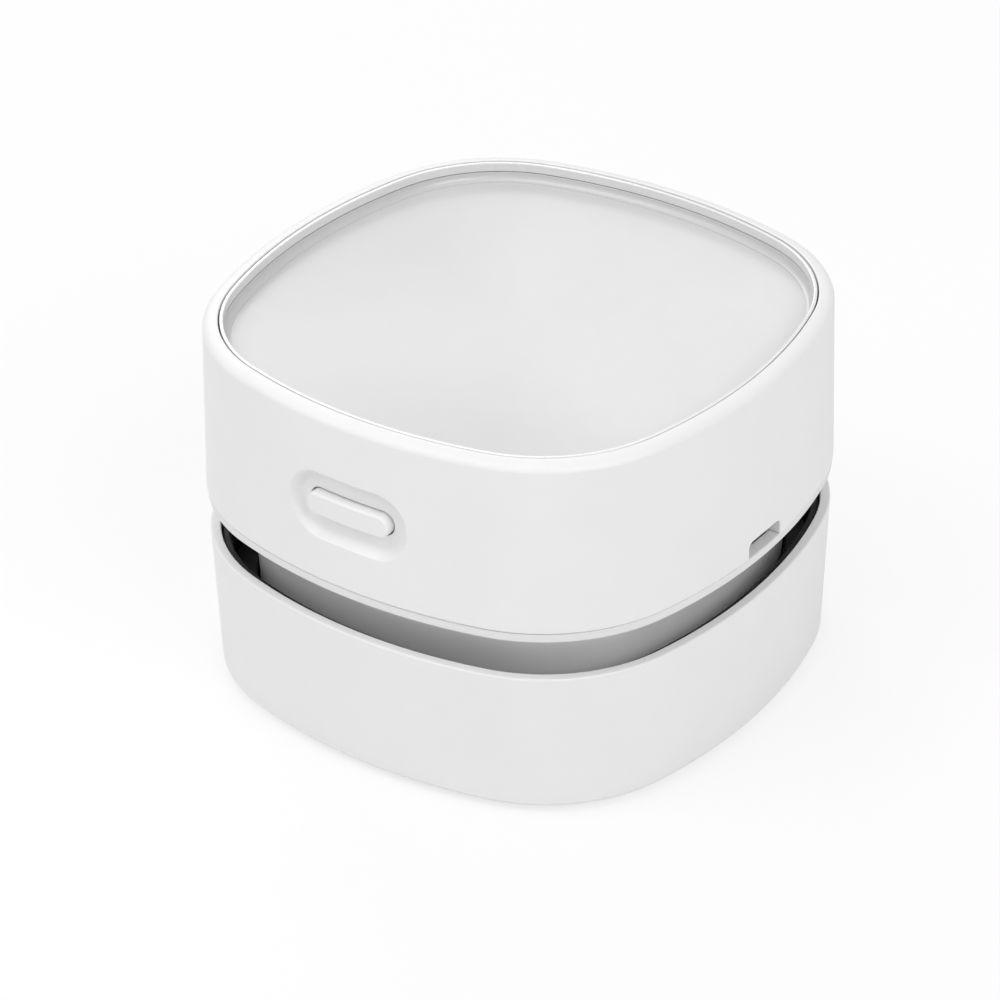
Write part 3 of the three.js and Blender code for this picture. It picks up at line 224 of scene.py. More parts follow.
def block(name, low, high, round_off=0.0):
    """A box between two corners, in millimetres, whose upright edges can be rounded."""
    base = [(x, y, low[2]) for x, y in ((low[0], low[1]), (high[0], low[1]), (high[0], high[1]), (low[0], high[1]))]
    return slab(name, base, z=high[2] - low[2], round_off=round_off)


def rounded(*corners, steps=4):
    """Gives each (offset, height, radius) corner of a cross-section its rounding, as a row of points."""
    points = []
    for i, corner in enumerate(corners):
        here = Vector(corner[:2])
        if len(corner) == 2:
            points.append(tuple(here))
            continue
        to_before = (Vector(corners[i - 1][:2]) - here).normalized()
        to_after = (Vector(corners[(i + 1) % len(corners)][:2]) - here).normalized()
        half = to_before.angle(to_after) / 2
        middle = here + (to_before + to_after).normalized() * corner[2] / math.sin(half)
        start = here + to_before * corner[2] / math.tan(half) - middle
        end = here + to_after * corner[2] / math.tan(half) - middle
        turn = (math.atan2(end.y, end.x) - math.atan2(start.y, start.x) + math.pi) % (2 * math.pi) - math.pi
        for step in range(steps + 1):
            angle = math.atan2(start.y, start.x) + turn * step / steps
            points.append((middle.x + corner[2] * math.cos(angle), middle.y + corner[2] * math.sin(angle)))
    return points


# %% [markdown]
# ## Selecting, cutting and finishing
# Operators act on whatever is selected, so faces, edges and points are picked by their place or normal.
# Holes are cut with solid tools that are then thrown away. Finished pieces are shaded smooth where the
# surface is round, and their normals are weighted by face area so that flat walls stay flat.

# %% Helpers for selecting, cutting and finishing
def select_where(piece, test, kind="FACE"):
    bpy.ops.mesh.select_all(action="DESELECT")
    bpy.ops.mesh.select_mode(type=kind)
    shape = bmesh.from_edit_mesh(piece.data)
    parts = {"VERT": shape.verts, "EDGE": shape.edges, "FACE": shape.faces}[kind]
    for part in [part for part in parts if test(part)]:
        part.select_set(True)
    shape.select_flush(True)
    bmesh.update_edit_mesh(piece.data)


def rim_at(level, inset=None):
    """A test for the points of an open rim at a level, and at an inset from the outline if one is given."""
    def test(point):
        return abs(point.co.z - level * MM) < MM / 1000 and point.is_boundary and (
            inset is None or abs(outline_offset(point.co) - inset * MM) < MM / 50)
    return test


def fill_rim(piece, level, inset=None):
    select_where(piece, rim_at(level, inset), "VERT")
    bpy.ops.mesh.edge_face_add()


def pick(*pieces):
    """Leaves edit mode, selects the pieces and makes the first of them the active one."""
    object_mode()
    bpy.ops.object.select_all(action="DESELECT")
    for piece in pieces:
        piece.select_set(True)
    bpy.context.view_layer.objects.active = pieces[0]


def join_all(pieces):
    pick(*pieces)
    bpy.ops.object.join()
    return pieces[0]


def copy_of(piece, name, move):
    """A copy with its own mesh, moved by a matrix."""
    object_mode()
    twin = piece.copy()
    twin.data = piece.data.copy()
    twin.name = twin.data.name = name
    twin.data.transform(move)
    bpy.context.scene.collection.objects.link(twin)
    return twin


def quarter_move(quarter):
    return Matrix.Rotation(quarter * QUARTER, 4, "Z")


def four_of(piece):
    """A piece and three copies, each a quarter turn further round the body, joined to one object."""
    return join_all([piece] + [copy_of(piece, piece.name, quarter_move(quarter)) for quarter in (1, 2, 3)])


def four_turned(name, profile, steps, spot):
    """Four turned pieces in one object, one in each corner."""
    return four_of(turned_piece(name, profile, steps, spot, spot))


def apply_modifier(piece, kind, **settings):
    pick(piece)
    modifier = piece.modifiers.new(kind.lower(), kind)
    for key, value in settings.items():
        setattr(modifier, key, value)
    bpy.ops.object.modifier_apply(modifier=modifier.name)


def open_edges(piece):
    """How many edges do not join exactly two faces, which is none on a closed solid."""
    shape = bmesh.new()
    shape.from_mesh(piece.data)
    count = sum(not edge.is_manifold for edge in shape.edges)
    shape.free()
    return count


def carve(piece, tool, operation="DIFFERENCE"):
    """Cuts a tool out of a piece, or joins it on, and throws the tool away."""
    apply_modifier(piece, "BOOLEAN", operation=operation, object=tool, solver="MANIFOLD")
    print(piece.name, "has", len(piece.data.polygons), "faces and", open_edges(piece), "open edges after",
          operation.lower(), "with", tool.name)
    bpy.data.objects.remove(tool)


def finish_piece(piece, body, slot, nodes, crease=30):
    """Shades the piece and tells the frame what it is."""
    pick(piece)
    bpy.ops.object.shade_smooth_by_angle(angle=math.radians(crease), keep_sharp_edges=False)
    apply_modifier(piece, "WEIGHTED_NORMAL", keep_sharp=True)
    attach(piece, body)
    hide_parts(*nodes)
    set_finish(piece, slot)
    print(piece.name, len(piece.data.polygons), "faces,", open_edges(piece), "open edges")


CORNER_NAMES = ["back_right", "back_left", "front_left", "front_right"]
SIDE_NAMES = ["right", "back", "left", "front"]
FLOOR_RIM = -12  # the inset at which a swept floor stops and is filled


def finish_set(piece, names, stem, body, slot, node_stem):
    """Finishes a piece and its three copies round the body, each under its own name."""
    object_mode()
    twins = [piece] + [copy_of(piece, f"{stem}_{names[quarter]}", quarter_move(quarter)) for quarter in (1, 2, 3)]
    piece.name = piece.data.name = f"{stem}_{names[0]}"
    for twin, name in zip(twins, names):
        finish_piece(twin, body, slot, [f"{node_stem}_{name}"])


# %% [markdown]
# ## Lower skirt
# The white skirt stands on a rounded bottom edge and leans out a little as it rises, so that it leaves
# its mould. Moulded plastic has no sharp edges, so its rim and bottom edge are drawn as small arcs. A
# flange runs round inside it, and four screws pass through the flange's corners.

# %% Lower skirt
BASE_SCREW_SPOT = corner_spot(4.4)
skirt = draw_section("lower_skirt", rounded(
    (-1.7, 1.0, 0.25), (-0.225, 1.0, 0.8), (0.5, 23.7, 0.3), (-1.0, 23.7, 0.2), (-1.4, 6.55),
    (-7.5, 6.55, 0.3), (-7.5, 5.35, 0.3), (-1.7, 5.35), steps=6))
sweep_outline()
carve(skirt, four_turned("flange_drill", [(0, 5), (1.45, 5), (1.45, 7), (0, 7)], 32, BASE_SCREW_SPOT))
finish_piece(skirt, "dust_unit", "shell_white", ["lower_shell"])

# %% [markdown]
# ## Dust tub
# Inside the skirt is the black tub that collects the dust. It has a flat floor with a round hole for the
# suction tube. The wall is swept along the outline, the open edges of the floor are filled, and then the
# screw bosses are joined on and the holes are drilled.

# %% Dust tub
TUBE_HOLE, TUB_BASE, TUB_FLOOR = 10.5, 6.7, 7.9
tub = draw_section("dust_tub", rounded(
    (FLOOR_RIM, TUB_BASE), (-1.85, TUB_BASE, 0.8), (-1.3, 22.8, 0.25), (-2.25, 22.8, 0.25), (-2.25, 14.2),
    (-3.05, 14.2, 0.3), (-3.05, TUB_FLOOR, 0.5), (FLOOR_RIM, TUB_FLOOR)), closed=False)
sweep_outline()
for level in (TUB_BASE, TUB_FLOOR):
    fill_rim(tub, level, FLOOR_RIM)
tidy_mesh()
carve(tub, four_turned("tub_boss", [(0, 7.5), (2.8, 7.5), (2.8, 11.1), (2.6, 11.3), (0, 11.3)], 40, BASE_SCREW_SPOT),
      "UNION")
drills = four_turned("tub_drill", [(0, 6), (1, 6), (1, 10.1), (0, 10.1)], 24, BASE_SCREW_SPOT)
carve(tub, join_all([drills, turned_piece("tube_hole", [(0, 6), (TUBE_HOLE, 6), (TUBE_HOLE, 9), (0, 9)], 96)]))
finish_piece(tub, "dust_unit", "cup_black", ["dust_cup"])

# %% [markdown]
# ## Collar, gasket and suction tube
# A black collar lies on a shelf in the tub and takes the neck of the main unit. A soft gasket lies on
# the collar's seat and keeps the dust in. The suction tube stands up from the mouth, so that dust that
# came in through it cannot fall back out.

# %% Collar, gasket and suction tube
collar = draw_section("cup_collar", rounded(
    (-2.55, 14.35, 0.1), (-2.55, 15.35, 0.2), (-6.15, 15.35, 0.4), (-6.15, 13.05), (-8.4, 13.05, 0.2),
    (-8.4, 12.05, 0.2), (-4.95, 12.05, 0.3), (-4.95, 14.35)))
sweep_outline()
finish_piece(collar, "dust_unit", "cup_black", ["dust_cup_collar"])

gasket = draw_section("neck_gasket", rounded(
    (-6.45, 13.2, 0.15), (-6.45, 13.9, 0.2), (-7.1, 13.9, 0.1), (-7.25, 13.75), (-7.4, 13.9, 0.1),
    (-8.2, 13.9, 0.2), (-8.2, 13.2, 0.15)))
sweep_outline()
finish_piece(gasket, "dust_unit", "rubber_black", ["neck_seal"])

tube = turned_piece("suction_tube", rounded(
    (9, 3.8), (9.6, 3.2, 0.1), (10.2, 3.2, 0.1), (10.2, 8.05), (14, 8.05, 0.2), (14, 9.25, 0.3),
    (10.2, 9.25, 0.25), (10.2, 12.45, 0.5), (9, 12.45, 0.5), (9, 3.8)), 96)
finish_piece(tube, "dust_unit", "cup_black", ["suction_nozzle"])

# %% [markdown]
# ## Underside: the brush base
# The grey cover under the tub carries the brushes, the feet and the mouth. It is swept and filled like
# the tub. Then cups for the feet are joined on, and the feet's bores, the screws' counterbores, the
# mouth and the four curved grooves for the brush strips are cut out.

# %% Brush base
FOOT_SPOT = corner_spot(13)
BRISTLE_BAR_INSET, PLATE_BASE, PLATE_TOP = 8, 3.2, 5.2


def arc_outline(inset, width, half_angle, level, steps=18):
    """The outline of a bar that follows the +X side of the body."""
    middle, radius = side_centre / MM, SIDE_RADIUS / MM - inset
    angles = [half_angle * (2 * i / steps - 1) for i in range(steps + 1)]
    outer, inner = [[(middle + reach * math.cos(a), reach * math.sin(a), level) for a in angles]
                    for reach in (radius + width / 2, radius - width / 2)]
    return outer + inner[::-1]


plate = draw_section("brush_base", rounded(
    (FLOOR_RIM, PLATE_TOP), (-2, PLATE_TOP, 0.2), (-2, PLATE_BASE, 0.5), (FLOOR_RIM, PLATE_BASE), steps=5),
    closed=False)
sweep_outline()
for level in (PLATE_TOP, PLATE_BASE):
    fill_rim(plate, level, FLOOR_RIM)
tidy_mesh()
carve(plate, four_turned("foot_cup", [(0, 1.4), (5.2, 1.4), (5.4, 1.6), (5.4, 4.2), (0, 4.2)], 56, FOOT_SPOT), "UNION")
foot_bore = turned_piece("foot_bore", [(0, 0.9), (4.3, 0.9), (4.3, 3.2), (0, 3.2)], 56, FOOT_SPOT, FOOT_SPOT)
screw_bore = turned_piece("screw_bore", [(0, 2.7), (2.6, 2.7), (2.2, 3.35), (2.2, 4.3), (1.15, 4.3), (1.15, 6), (0, 6)],
                          40, BASE_SCREW_SPOT, BASE_SCREW_SPOT)
groove = slab("bar_groove", arc_outline(BRISTLE_BAR_INSET, 4.6, 0.2662, 2.7), z=1.7)
mouth = turned_piece("mouth_hole", [(0, 3), (TUBE_HOLE + 0.4, 3), (TUBE_HOLE, 3.4), (TUBE_HOLE, 6), (0, 6)], 96)
carve(plate, join_all([four_of(join_all([foot_bore, screw_bore, groove])), mouth]))
finish_piece(plate, "dust_unit", "plate_grey", ["brush_plate"])

# %% [markdown]
# ## Brush strips
# Each strip is a curved bar with two rows of tufts. A real tuft is a pinch of nylon bristles folded into
# one hole, which spreads a little towards the tips. One bristle is extruded and narrowed in three
# steps, seven of them make a tuft, and the tuft is copied along the bar with a small seeded lean.

# %% One tuft
BRISTLE_TOP, BRISTLE_TIP = 3.3, 0.22
FROM_ROOT = Matrix.Translation((0, 0, -BRISTLE_TOP * MM))
bpy.ops.object.select_all(action="DESELECT")
bpy.ops.mesh.primitive_circle_add(vertices=5, radius=0.14 * MM, fill_type="NGON", location=(0, 0, BRISTLE_TOP * MM))
bristle = bpy.context.object
bristle.name = "bristle"
bpy.ops.object.transform_apply(location=True, rotation=True, scale=True)
bpy.ops.object.mode_set(mode="EDIT")
bpy.ops.mesh.select_mode(type="VERT")
bpy.ops.mesh.select_all(action="SELECT")
for drop, narrowing in ((0.9, 0.95), (1.2, 0.85), (BRISTLE_TOP - BRISTLE_TIP - 2.1, 0.55)):
    extrude_by(z=-drop * MM)
    bpy.ops.transform.resize(value=(narrowing, narrowing, 1), center_override=(0, 0, 0))
tidy_mesh()
object_mode()
bristles = [bristle]
for turn in range(6):
    spread = Matrix.Rotation(turn * math.pi / 3, 4, "Z") @ Matrix.Translation((0.27 * MM, 0, BRISTLE_TOP * MM))
    spread = spread @ Matrix.Rotation(-0.09 - 0.02 * (turn % 2), 4, "Y") @ FROM_ROOT
    bristles.append(copy_of(bristle, "bristle", spread))
tuft = join_all(bristles)
print("a tuft has", len(bristles), "bristles")

# %% Brush strips
TUFTS_IN_ROW, TUFT_ROWS, TUFT_REACH, TUFT_LEAN = 23, (-0.85, 0.85), 0.244, 0.06
bar = slab("brush_row", arc_outline(BRISTLE_BAR_INSET, 4, 0.262, 2.9), z=1.35)
select_where(bar, lambda edge: edge.calc_face_angle(0) > 0.8, "EDGE")
bpy.ops.mesh.bevel(offset=0.2 * MM, segments=2, affect="EDGES")
tidy_mesh()
draws = random.Random(11)
tufts = []
for row in TUFT_ROWS:
    for i in range(TUFTS_IN_ROW):
        angle = TUFT_REACH * (2 * (i + (0.25 if row > 0 else -0.25)) / (TUFTS_IN_ROW - 1) - 1)
        radius = SIDE_RADIUS - (BRISTLE_BAR_INSET + row) * MM
        spot = Vector((side_centre + radius * math.cos(angle), radius * math.sin(angle), BRISTLE_TOP * MM))
        lean_x, lean_y = [Matrix.Rotation(draws.uniform(-TUFT_LEAN, TUFT_LEAN), 4, axis) for axis in "XY"]
        turn = Matrix.Rotation(draws.uniform(0, math.pi), 4, "Z")
        tufts.append(copy_of(tuft, "tuft", Matrix.Translation(spot) @ (lean_x @ lean_y) @ turn @ FROM_ROOT))
bpy.data.objects.remove(tuft)
strip = join_all([bar] + tufts)
finish_set(strip, SIDE_NAMES, "brush_row", "dust_unit", "bristle_grey", "brush_strip")

# %% [markdown]
# ## Feet
# The rubber feet are turned pads with a ring groove in the sole, which grips better than a flat sole.

# %% Feet
foot = turned_piece("pad_foot", rounded(
    (0, 0.12), (1.9, 0.12), (2.1, 0, 0.05), (2.7, 0, 0.05), (2.8, 0.25), (3.0, 0.25), (3.1, 0, 0.05), (4, 0, 0.35),
    (4, 3.05, 0.1), (0, 3.05)), 72, FOOT_SPOT, FOOT_SPOT)
finish_set(foot, CORNER_NAMES, "pad_foot", "dust_unit", "rubber_black", "foot")

# %% [markdown]
# ## Neck and band
# One light grey moulding has the thin band that shows under the upper housing, the ledge over the gap
# and the neck that plugs into the tub. The air leaves through slots in the ledge. Four screws sit in
# counterbores in the ledge, and a pocket under the charging port makes room for the plug.

# %% Neck and band
BAND_OUT, BAND_BASE, BAND_TOP, LIP_OUT, LIP_TOP = 0.58, 29.9, 31.38, -1.75, 33.3
NECK_TOP, NECK_FOOT, NECK_BASE, NECK_WALL = -5.9, -6.5, 14.1, 1.3
HOUSING_SCREW_SPOT = corner_spot(3.6)
NOTCH_HALF, POCKET_START, POCKET_END = 4.15, 37.45, 40.62
MOUNT_SCREWS = (-33, 33)
neck = draw_section("neck_and_band", rounded(
    (BAND_OUT, BAND_BASE, 0.4), (BAND_OUT, BAND_TOP, 0.22), (LIP_OUT, BAND_TOP), (LIP_OUT, LIP_TOP, 0.15),
    (LIP_OUT - 1.2, LIP_TOP, 0.15), (LIP_OUT - 1.2, BAND_TOP), (NECK_TOP - NECK_WALL, BAND_TOP), (-7.5, 22.1),
    (-8.9, 22.1, 0.2), (-8.9, 21.2, 0.2), (-7.53, 21.2), (NECK_FOOT - NECK_WALL, NECK_BASE, 0.2),
    (NECK_FOOT, NECK_BASE, 0.4), (NECK_TOP, BAND_BASE, 0.6), steps=5))
sweep_outline()

# %% Pads and bosses of the neck
pads = four_turned("screw_pad", [(0, 30.6), (2.9, 30.6), (2.9, LIP_TOP), (0, LIP_TOP)], 40, HOUSING_SCREW_SPOT)
fence = draw_section("pad_fence", [(LIP_OUT, 30), (LIP_OUT, 34)], closed=False)
sweep_outline()
fill_rim(fence, 30)
fill_rim(fence, 34)
tidy_mesh()
carve(pads, fence, "INTERSECT")
carve(neck, pads, "UNION")
mount_bosses = [turned_piece("mount_boss", [(0, 25.78), (2.4, 25.78), (2.4, 31.3), (0, 31.3)], 34, 0, y)
                for y in MOUNT_SCREWS]
carve(neck, join_all(mount_bosses), "UNION")

# %% Slots and bores of the neck
EXHAUST_INSET, EXHAUST_PITCH = 4.3, 7.6
slot_cutters = []
for i in range(-2, 3):
    turn = i * EXHAUST_PITCH / (SIDE_RADIUS / MM - EXHAUST_INSET)
    slot_cutter = block("exhaust_slot", (-1, -2.7, 29), (1, 2.7, 32), round_off=0.7)
    object_mode()
    reach = SIDE_RADIUS - EXHAUST_INSET * MM
    slot_cutter.data.transform(Matrix.Translation((side_centre + reach * math.cos(turn), reach * math.sin(turn), 0))
                               @ Matrix.Rotation(turn, 4, "Z"))
    slot_cutters.append(slot_cutter)
counterbore = turned_piece("counterbore", [
    (0, 29), (2.45, 29.7), (2.2, 30.15), (2.2, 31.2), (1.2, 31.2), (1.2, 34), (0, 34)], 40,
    HOUSING_SCREW_SPOT, HOUSING_SCREW_SPOT)
carve(neck, four_of(join_all([*slot_cutters, counterbore])))
boss_drills = [turned_piece("boss_drill", [(0, 26.28), (0.95, 26.28), (0.95, 32), (0, 32)], 24, 0, y)
               for y in MOUNT_SCREWS]
carve(neck, join_all(boss_drills))
carve(neck, block("port_room", (POCKET_START, -5.75, BAND_TOP), (42, 5.75, 34)))
carve(neck, block("plug_pocket", (POCKET_START, -NOTCH_HALF, 30.58), (POCKET_END, NOTCH_HALF, 32)))
finish_piece(neck, "main_unit", "neck_grey", ["neck_chassis"])

# %% Pad of painted shade behind the notch
# A thin black pad lies in the pocket as painted shade: it puts a dark line behind the notch's top edge, where the
# pocket lies in shade.
notch_shade_pad = block("notch_shade_pad", (37.6, -4.05, 30.6), (40.59, 4.05, 30.95), round_off=0.3)
object_mode()
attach(notch_shade_pad, "main_unit")
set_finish(notch_shade_pad, "rubber_black")
print(notch_shade_pad.name, len(notch_shade_pad.data.polygons), "faces,", open_edges(notch_shade_pad), "open edges")

# %% [markdown]
# ## Upper housing
# The rim rolls over in a flat quarter ellipse. The front needs many more steps than the other sides,
# because the dish round the button is pressed into it and its soft edge needs small faces.

# %% Upper housing
SHELL_BASE, SHELL_TOP, SHOULDER_WIDTH, SHOULDER_HEIGHT, SHELL_LEAN = 31.5, 58.4, 2.27, 1.3, 0.72
BUTTON_LEVEL, DISH_ROWS, FRONT_STEPS = 43.65, 62, 208
DISH_LOW, DISH_HIGH = BUTTON_LEVEL - 6.2, BUTTON_LEVEL + 6.2
shoulder_base = SHELL_TOP - SHOULDER_HEIGHT


def face_offset(z):
    """The lean of the outer face: how far it stands out from the outline at a height."""
    return SHELL_LEAN * (shoulder_base - z) / (shoulder_base - SHELL_BASE)


rows = [DISH_LOW + (DISH_HIGH - DISH_LOW) * i / DISH_ROWS for i in range(DISH_ROWS + 1)]
shoulder = [(-SHOULDER_WIDTH * (1 - math.cos(a)), shoulder_base + SHOULDER_HEIGHT * math.sin(a))
            for a in [QUARTER * i / 16 for i in range(16)]]
shell = draw_section("upper_housing", [
    (SHELL_LEAN - 2.1, SHELL_BASE),
    *rounded((SHELL_LEAN - 2.1, SHELL_BASE), (SHELL_LEAN, SHELL_BASE, 0.22), (face_offset(DISH_LOW), DISH_LOW),
             steps=5)[1:-1],
    *[(face_offset(z), z) for z in rows], *shoulder,
    *rounded(shoulder[-1], (-SHOULDER_WIDTH, SHELL_TOP, 0.14), (-SHOULDER_WIDTH, 54.1))[1:],
    (-6, 54.1), (-6, 52.5), (-2, 52.5),
])
sweep_outline(front_steps=FRONT_STEPS)
object_mode()


# %% [markdown]
# ### The dish round the button
# The dish is a pill-shaped hollow whose sides fall quickly and then run out into its floor. Each point
# of the front face gets a weight by how deep it lies inside the pill's outline, and a Displace
# modifier pushes the points in by that weight.

# %% Dish
def pill_depth(x, z, length, width):
    """How far a point on the front face lies inside a pill's outline, in millimetres."""
    across = max(abs(x) - (length - width) / 2, 0)
    return width / 2 - math.hypot(across, z - BUTTON_LEVEL)


def push(piece, name, weight_at, strength, direction):
    """Moves each point along an axis by a strength times its weight."""
    group = piece.vertex_groups.new(name=name)
    for vertex in piece.data.vertices:
        weight = weight_at(vertex.co / MM)
        if weight > 0:
            group.add([vertex.index], weight, "REPLACE")
    apply_modifier(piece, "DISPLACE", vertex_group=name, strength=strength, mid_level=0, direction=direction)
    piece.vertex_groups.clear()


DISH_LENGTH, DISH_WIDTH, DISH_DEPTH, DISH_SLOPE = 20.4, 10.8, 1.4, 1.4
FRONT_SKIN = -39.6  # points further back than this belong to the inside of the wall


def dish_weight(place):
    inside = pill_depth(place.x, place.z, DISH_LENGTH, DISH_WIDTH) / DISH_SLOPE
    if place.y > FRONT_SKIN or inside <= 0:
        return 0
    return math.sin(min(inside, 1) * QUARTER) ** 1.25


push(shell, "dish", dish_weight, DISH_DEPTH * MM, "Y")
print("dish pressed into", shell.name)


# %% [markdown]
# ### The button's hole, the charging notch and what is inside
# The notch is cut with a tool that flares at the outer face, which leaves a small chamfer that catches
# the light. Behind the wall are a hood round the charging socket, bosses for the screws and two ribs
# that hold the switch board.

# %% Hole, notch, hood, bosses and ribs
BUTTON_LENGTH, BUTTON_WIDTH, HOLE_GAP = 14.2, 3.5, 0.25
NOTCH_BASE, NOTCH_HIGH, NOTCH_START, NOTCH_REACH, NOTCH_FLARE = 31, 34, 37, 5.42, 0.8


def pill_outline(length, width, y, steps=24):
    radius, half = width / 2, (length - width) / 2
    return [(side * (half + radius * math.sin(a)), y, BUTTON_LEVEL - side * radius * math.cos(a))
            for side in (1, -1) for a in [math.pi * i / steps for i in range(steps + 1)]]


def side_blocks(name, near, far, low, high):
    """Two blocks, left and right of the button, between two distances from the middle."""
    return [block(name, (min(side * near, side * far), *low), (max(side * near, side * far), *high))
            for side in (-1, 1)]


ribs = side_blocks("board_rib", 9.2, 11, (-40.2, 39.65), (-31.93, 48.95))
hood = block("port_hood", (38.05, -5.45, SHELL_BASE), (41, 5.45, 35.3))
bosses = four_turned("housing_boss", [(0, 33.6), (2.6, 33.6), (2.6, 53.3), (0, 53.3)], 40, HOUSING_SCREW_SPOT)
carve(shell, join_all([bosses, hood, *ribs]), "UNION")
hole = slab("button_hole", pill_outline(BUTTON_LENGTH + 2 * HOLE_GAP, BUTTON_WIDTH + 2 * HOLE_GAP, -45), y=8)
notch = draw_line("charging_notch", [(NOTCH_START, y, z) for y, z in (
    (-NOTCH_HALF, NOTCH_BASE), (NOTCH_HALF, NOTCH_BASE), (NOTCH_HALF, NOTCH_HIGH), (-NOTCH_HALF, NOTCH_HIGH))],
    closed=True)
bpy.ops.mesh.edge_face_add()
select_where(notch, lambda point: point.co.z > (NOTCH_HIGH - 1) * MM, "VERT")
bpy.ops.mesh.bevel(affect="VERTICES", offset=1.0 * MM, segments=8)
bpy.ops.mesh.select_all(action="SELECT")
extrude_by(x=NOTCH_REACH * MM)
extrude_by(x=NOTCH_FLARE * MM)
bpy.ops.transform.resize(value=(1, 1 + NOTCH_FLARE / NOTCH_HALF, 1 + NOTCH_FLARE / (NOTCH_HIGH - NOTCH_BASE)),
                         center_override=(0, 0, NOTCH_BASE * MM))
tidy_mesh()
board_slots = side_blocks("board_slot", 8.7, 10.1, (-33.53, 39), (-31.9, 47.75))
drills = four_turned("boss_drill", [(0, 33), (1.05, 33), (1.05, 43.6), (0, 43.6)], 24, HOUSING_SCREW_SPOT)
carve(shell, join_all([drills, hole, notch, *board_slots]))
finish_piece(shell, "main_unit", "shell_white", ["upper_shell"], crease=35)

# %% [markdown]
# ## Top tray and trim ring
# The tray is one dish: a lip at the rim, a cove that falls steeply, a fine step where the cove meets
# the floor, and a floor that sinks towards the middle. The cove is swept, and the floor is drawn
# inwards ring by ring. A bright thin ring closes the joint between the tray and the rim.

# %% Top tray
TRAY_OUTER, TRAY_LIP, LIP_WIDTH, COVE_WIDTH, COVE_HEIGHT = -2.57, 56.8, 0.55, 0.9, 1.2
FLOOR_EDGE, TRAY_DISH, STEP_WIDTH, STEP_DROP = 55.6, 2.4, 0.03, 0.12
TRAY_BASE, UNDER_INSET, UNDER_LEVEL, TRAY_THICKNESS = 54.25, -6.42, 53.2, 1.5
FLOOR_OUTER = TRAY_OUTER - LIP_WIDTH - COVE_WIDTH
cove = [(FLOOR_OUTER + COVE_WIDTH * math.cos(a), TRAY_LIP - COVE_HEIGHT * math.sin(a))
        for a in [QUARTER * i / 10 for i in range(1, 11)]]
tray = draw_section("dished_tray", [
    (UNDER_INSET, UNDER_LEVEL), (UNDER_INSET, TRAY_BASE),
    *rounded((UNDER_INSET, TRAY_BASE), (TRAY_OUTER, TRAY_BASE), (TRAY_OUTER, TRAY_LIP, 0.15),
             (-3.12, TRAY_LIP, 0.08), cove[0])[1:-1],
    *cove, (FLOOR_OUTER - STEP_WIDTH, FLOOR_EDGE - STEP_DROP),
], closed=False)
sweep_outline()


def floor_level(share):
    """The height of the tray's floor at a share of the way from the middle to its edge."""
    return FLOOR_EDGE - TRAY_DISH * (1 - share ** 2) - STEP_DROP * share ** 12


def draw_floor_in(piece, at_level, inset, rings):
    """Draws a floor inwards from an open rim: each ring is extruded, drawn in and moved to its level."""
    select_where(piece, rim_at(at_level, inset), "VERT")
    share, low = 1.0, at_level
    for next_share, next_low in rings:
        extrude_by(z=(next_low - low) * MM)
        ratio = next_share / share
        bpy.ops.transform.resize(value=(ratio, ratio, 1), center_override=(0, 0, 0))
        share, low = next_share, next_low
    bpy.ops.mesh.merge(type="CENTER")


floor_shares = [0.99] + [1 - i / 30 for i in range(1, 30)] + [0.01]
draw_floor_in(tray, FLOOR_EDGE - STEP_DROP, FLOOR_OUTER - STEP_WIDTH,
              [(share, floor_level(share)) for share in floor_shares])
under_share = (HALF_WIDTH / MM + UNDER_INSET) / (HALF_WIDTH / MM + FLOOR_OUTER)
draw_floor_in(tray, UNDER_LEVEL, UNDER_INSET, [(share, floor_level(share * under_share) - TRAY_THICKNESS)
                                               for share in (0.8, 0.6, 0.4, 0.2, 0.01)])
tidy_mesh()
finish_piece(tray, "main_unit", "tray_white", ["top_tray"])

# %% Trim ring
TRIM_OUT, TRIM_IN, TRIM_TOP, TRIM_BASE = -2.5, -3.05, 58.3, 56.95
ring = draw_section("bright_trim", rounded(
    (TRIM_OUT, TRIM_BASE), (TRIM_OUT, TRIM_TOP, 0.1), (TRIM_IN, TRIM_TOP, 0.14), (TRIM_IN, TRIM_BASE)))
sweep_outline()
finish_piece(ring, "main_unit", "trim_white", ["tray_trim_ring"])

# %% [markdown]
# ## Button
# The button is a pill-shaped cap whose face follows the curve of the front. Its outline is filled and
# extruded back, with a flange that keeps it from falling out, and its front edge is rounded while the
# face is still one piece. Then it is cut into upright strips and bent to the radius of the wall.

# %% Button
BUTTON_FACE, CAP_BACK, FLANGE_BACK, STEM_END = -42.38, -39.83, -39.03, -37.23
FLANGE_WIDTH, CAP_ROUNDING, STRIP_WIDTH = 1, 0.38, 0.5
BEND_RADIUS = SIDE_RADIUS / MM + face_offset(BUTTON_LEVEL)
cap = draw_line("button_cap", pill_outline(BUTTON_LENGTH, BUTTON_WIDTH, BUTTON_FACE), closed=True)
bpy.ops.mesh.edge_face_add()
extrude_by(y=(CAP_BACK - BUTTON_FACE) * MM)
extrude_by()
bpy.ops.transform.resize(value=(1 + 2 * FLANGE_WIDTH / BUTTON_LENGTH, 1, 1 + 2 * FLANGE_WIDTH / BUTTON_WIDTH),
                         center_override=(0, 0, BUTTON_LEVEL * MM))
extrude_by(y=(FLANGE_BACK - CAP_BACK) * MM)
tidy_mesh()


def at_face(point):
    return abs(point.co.y - BUTTON_FACE * MM) < MM / 1000


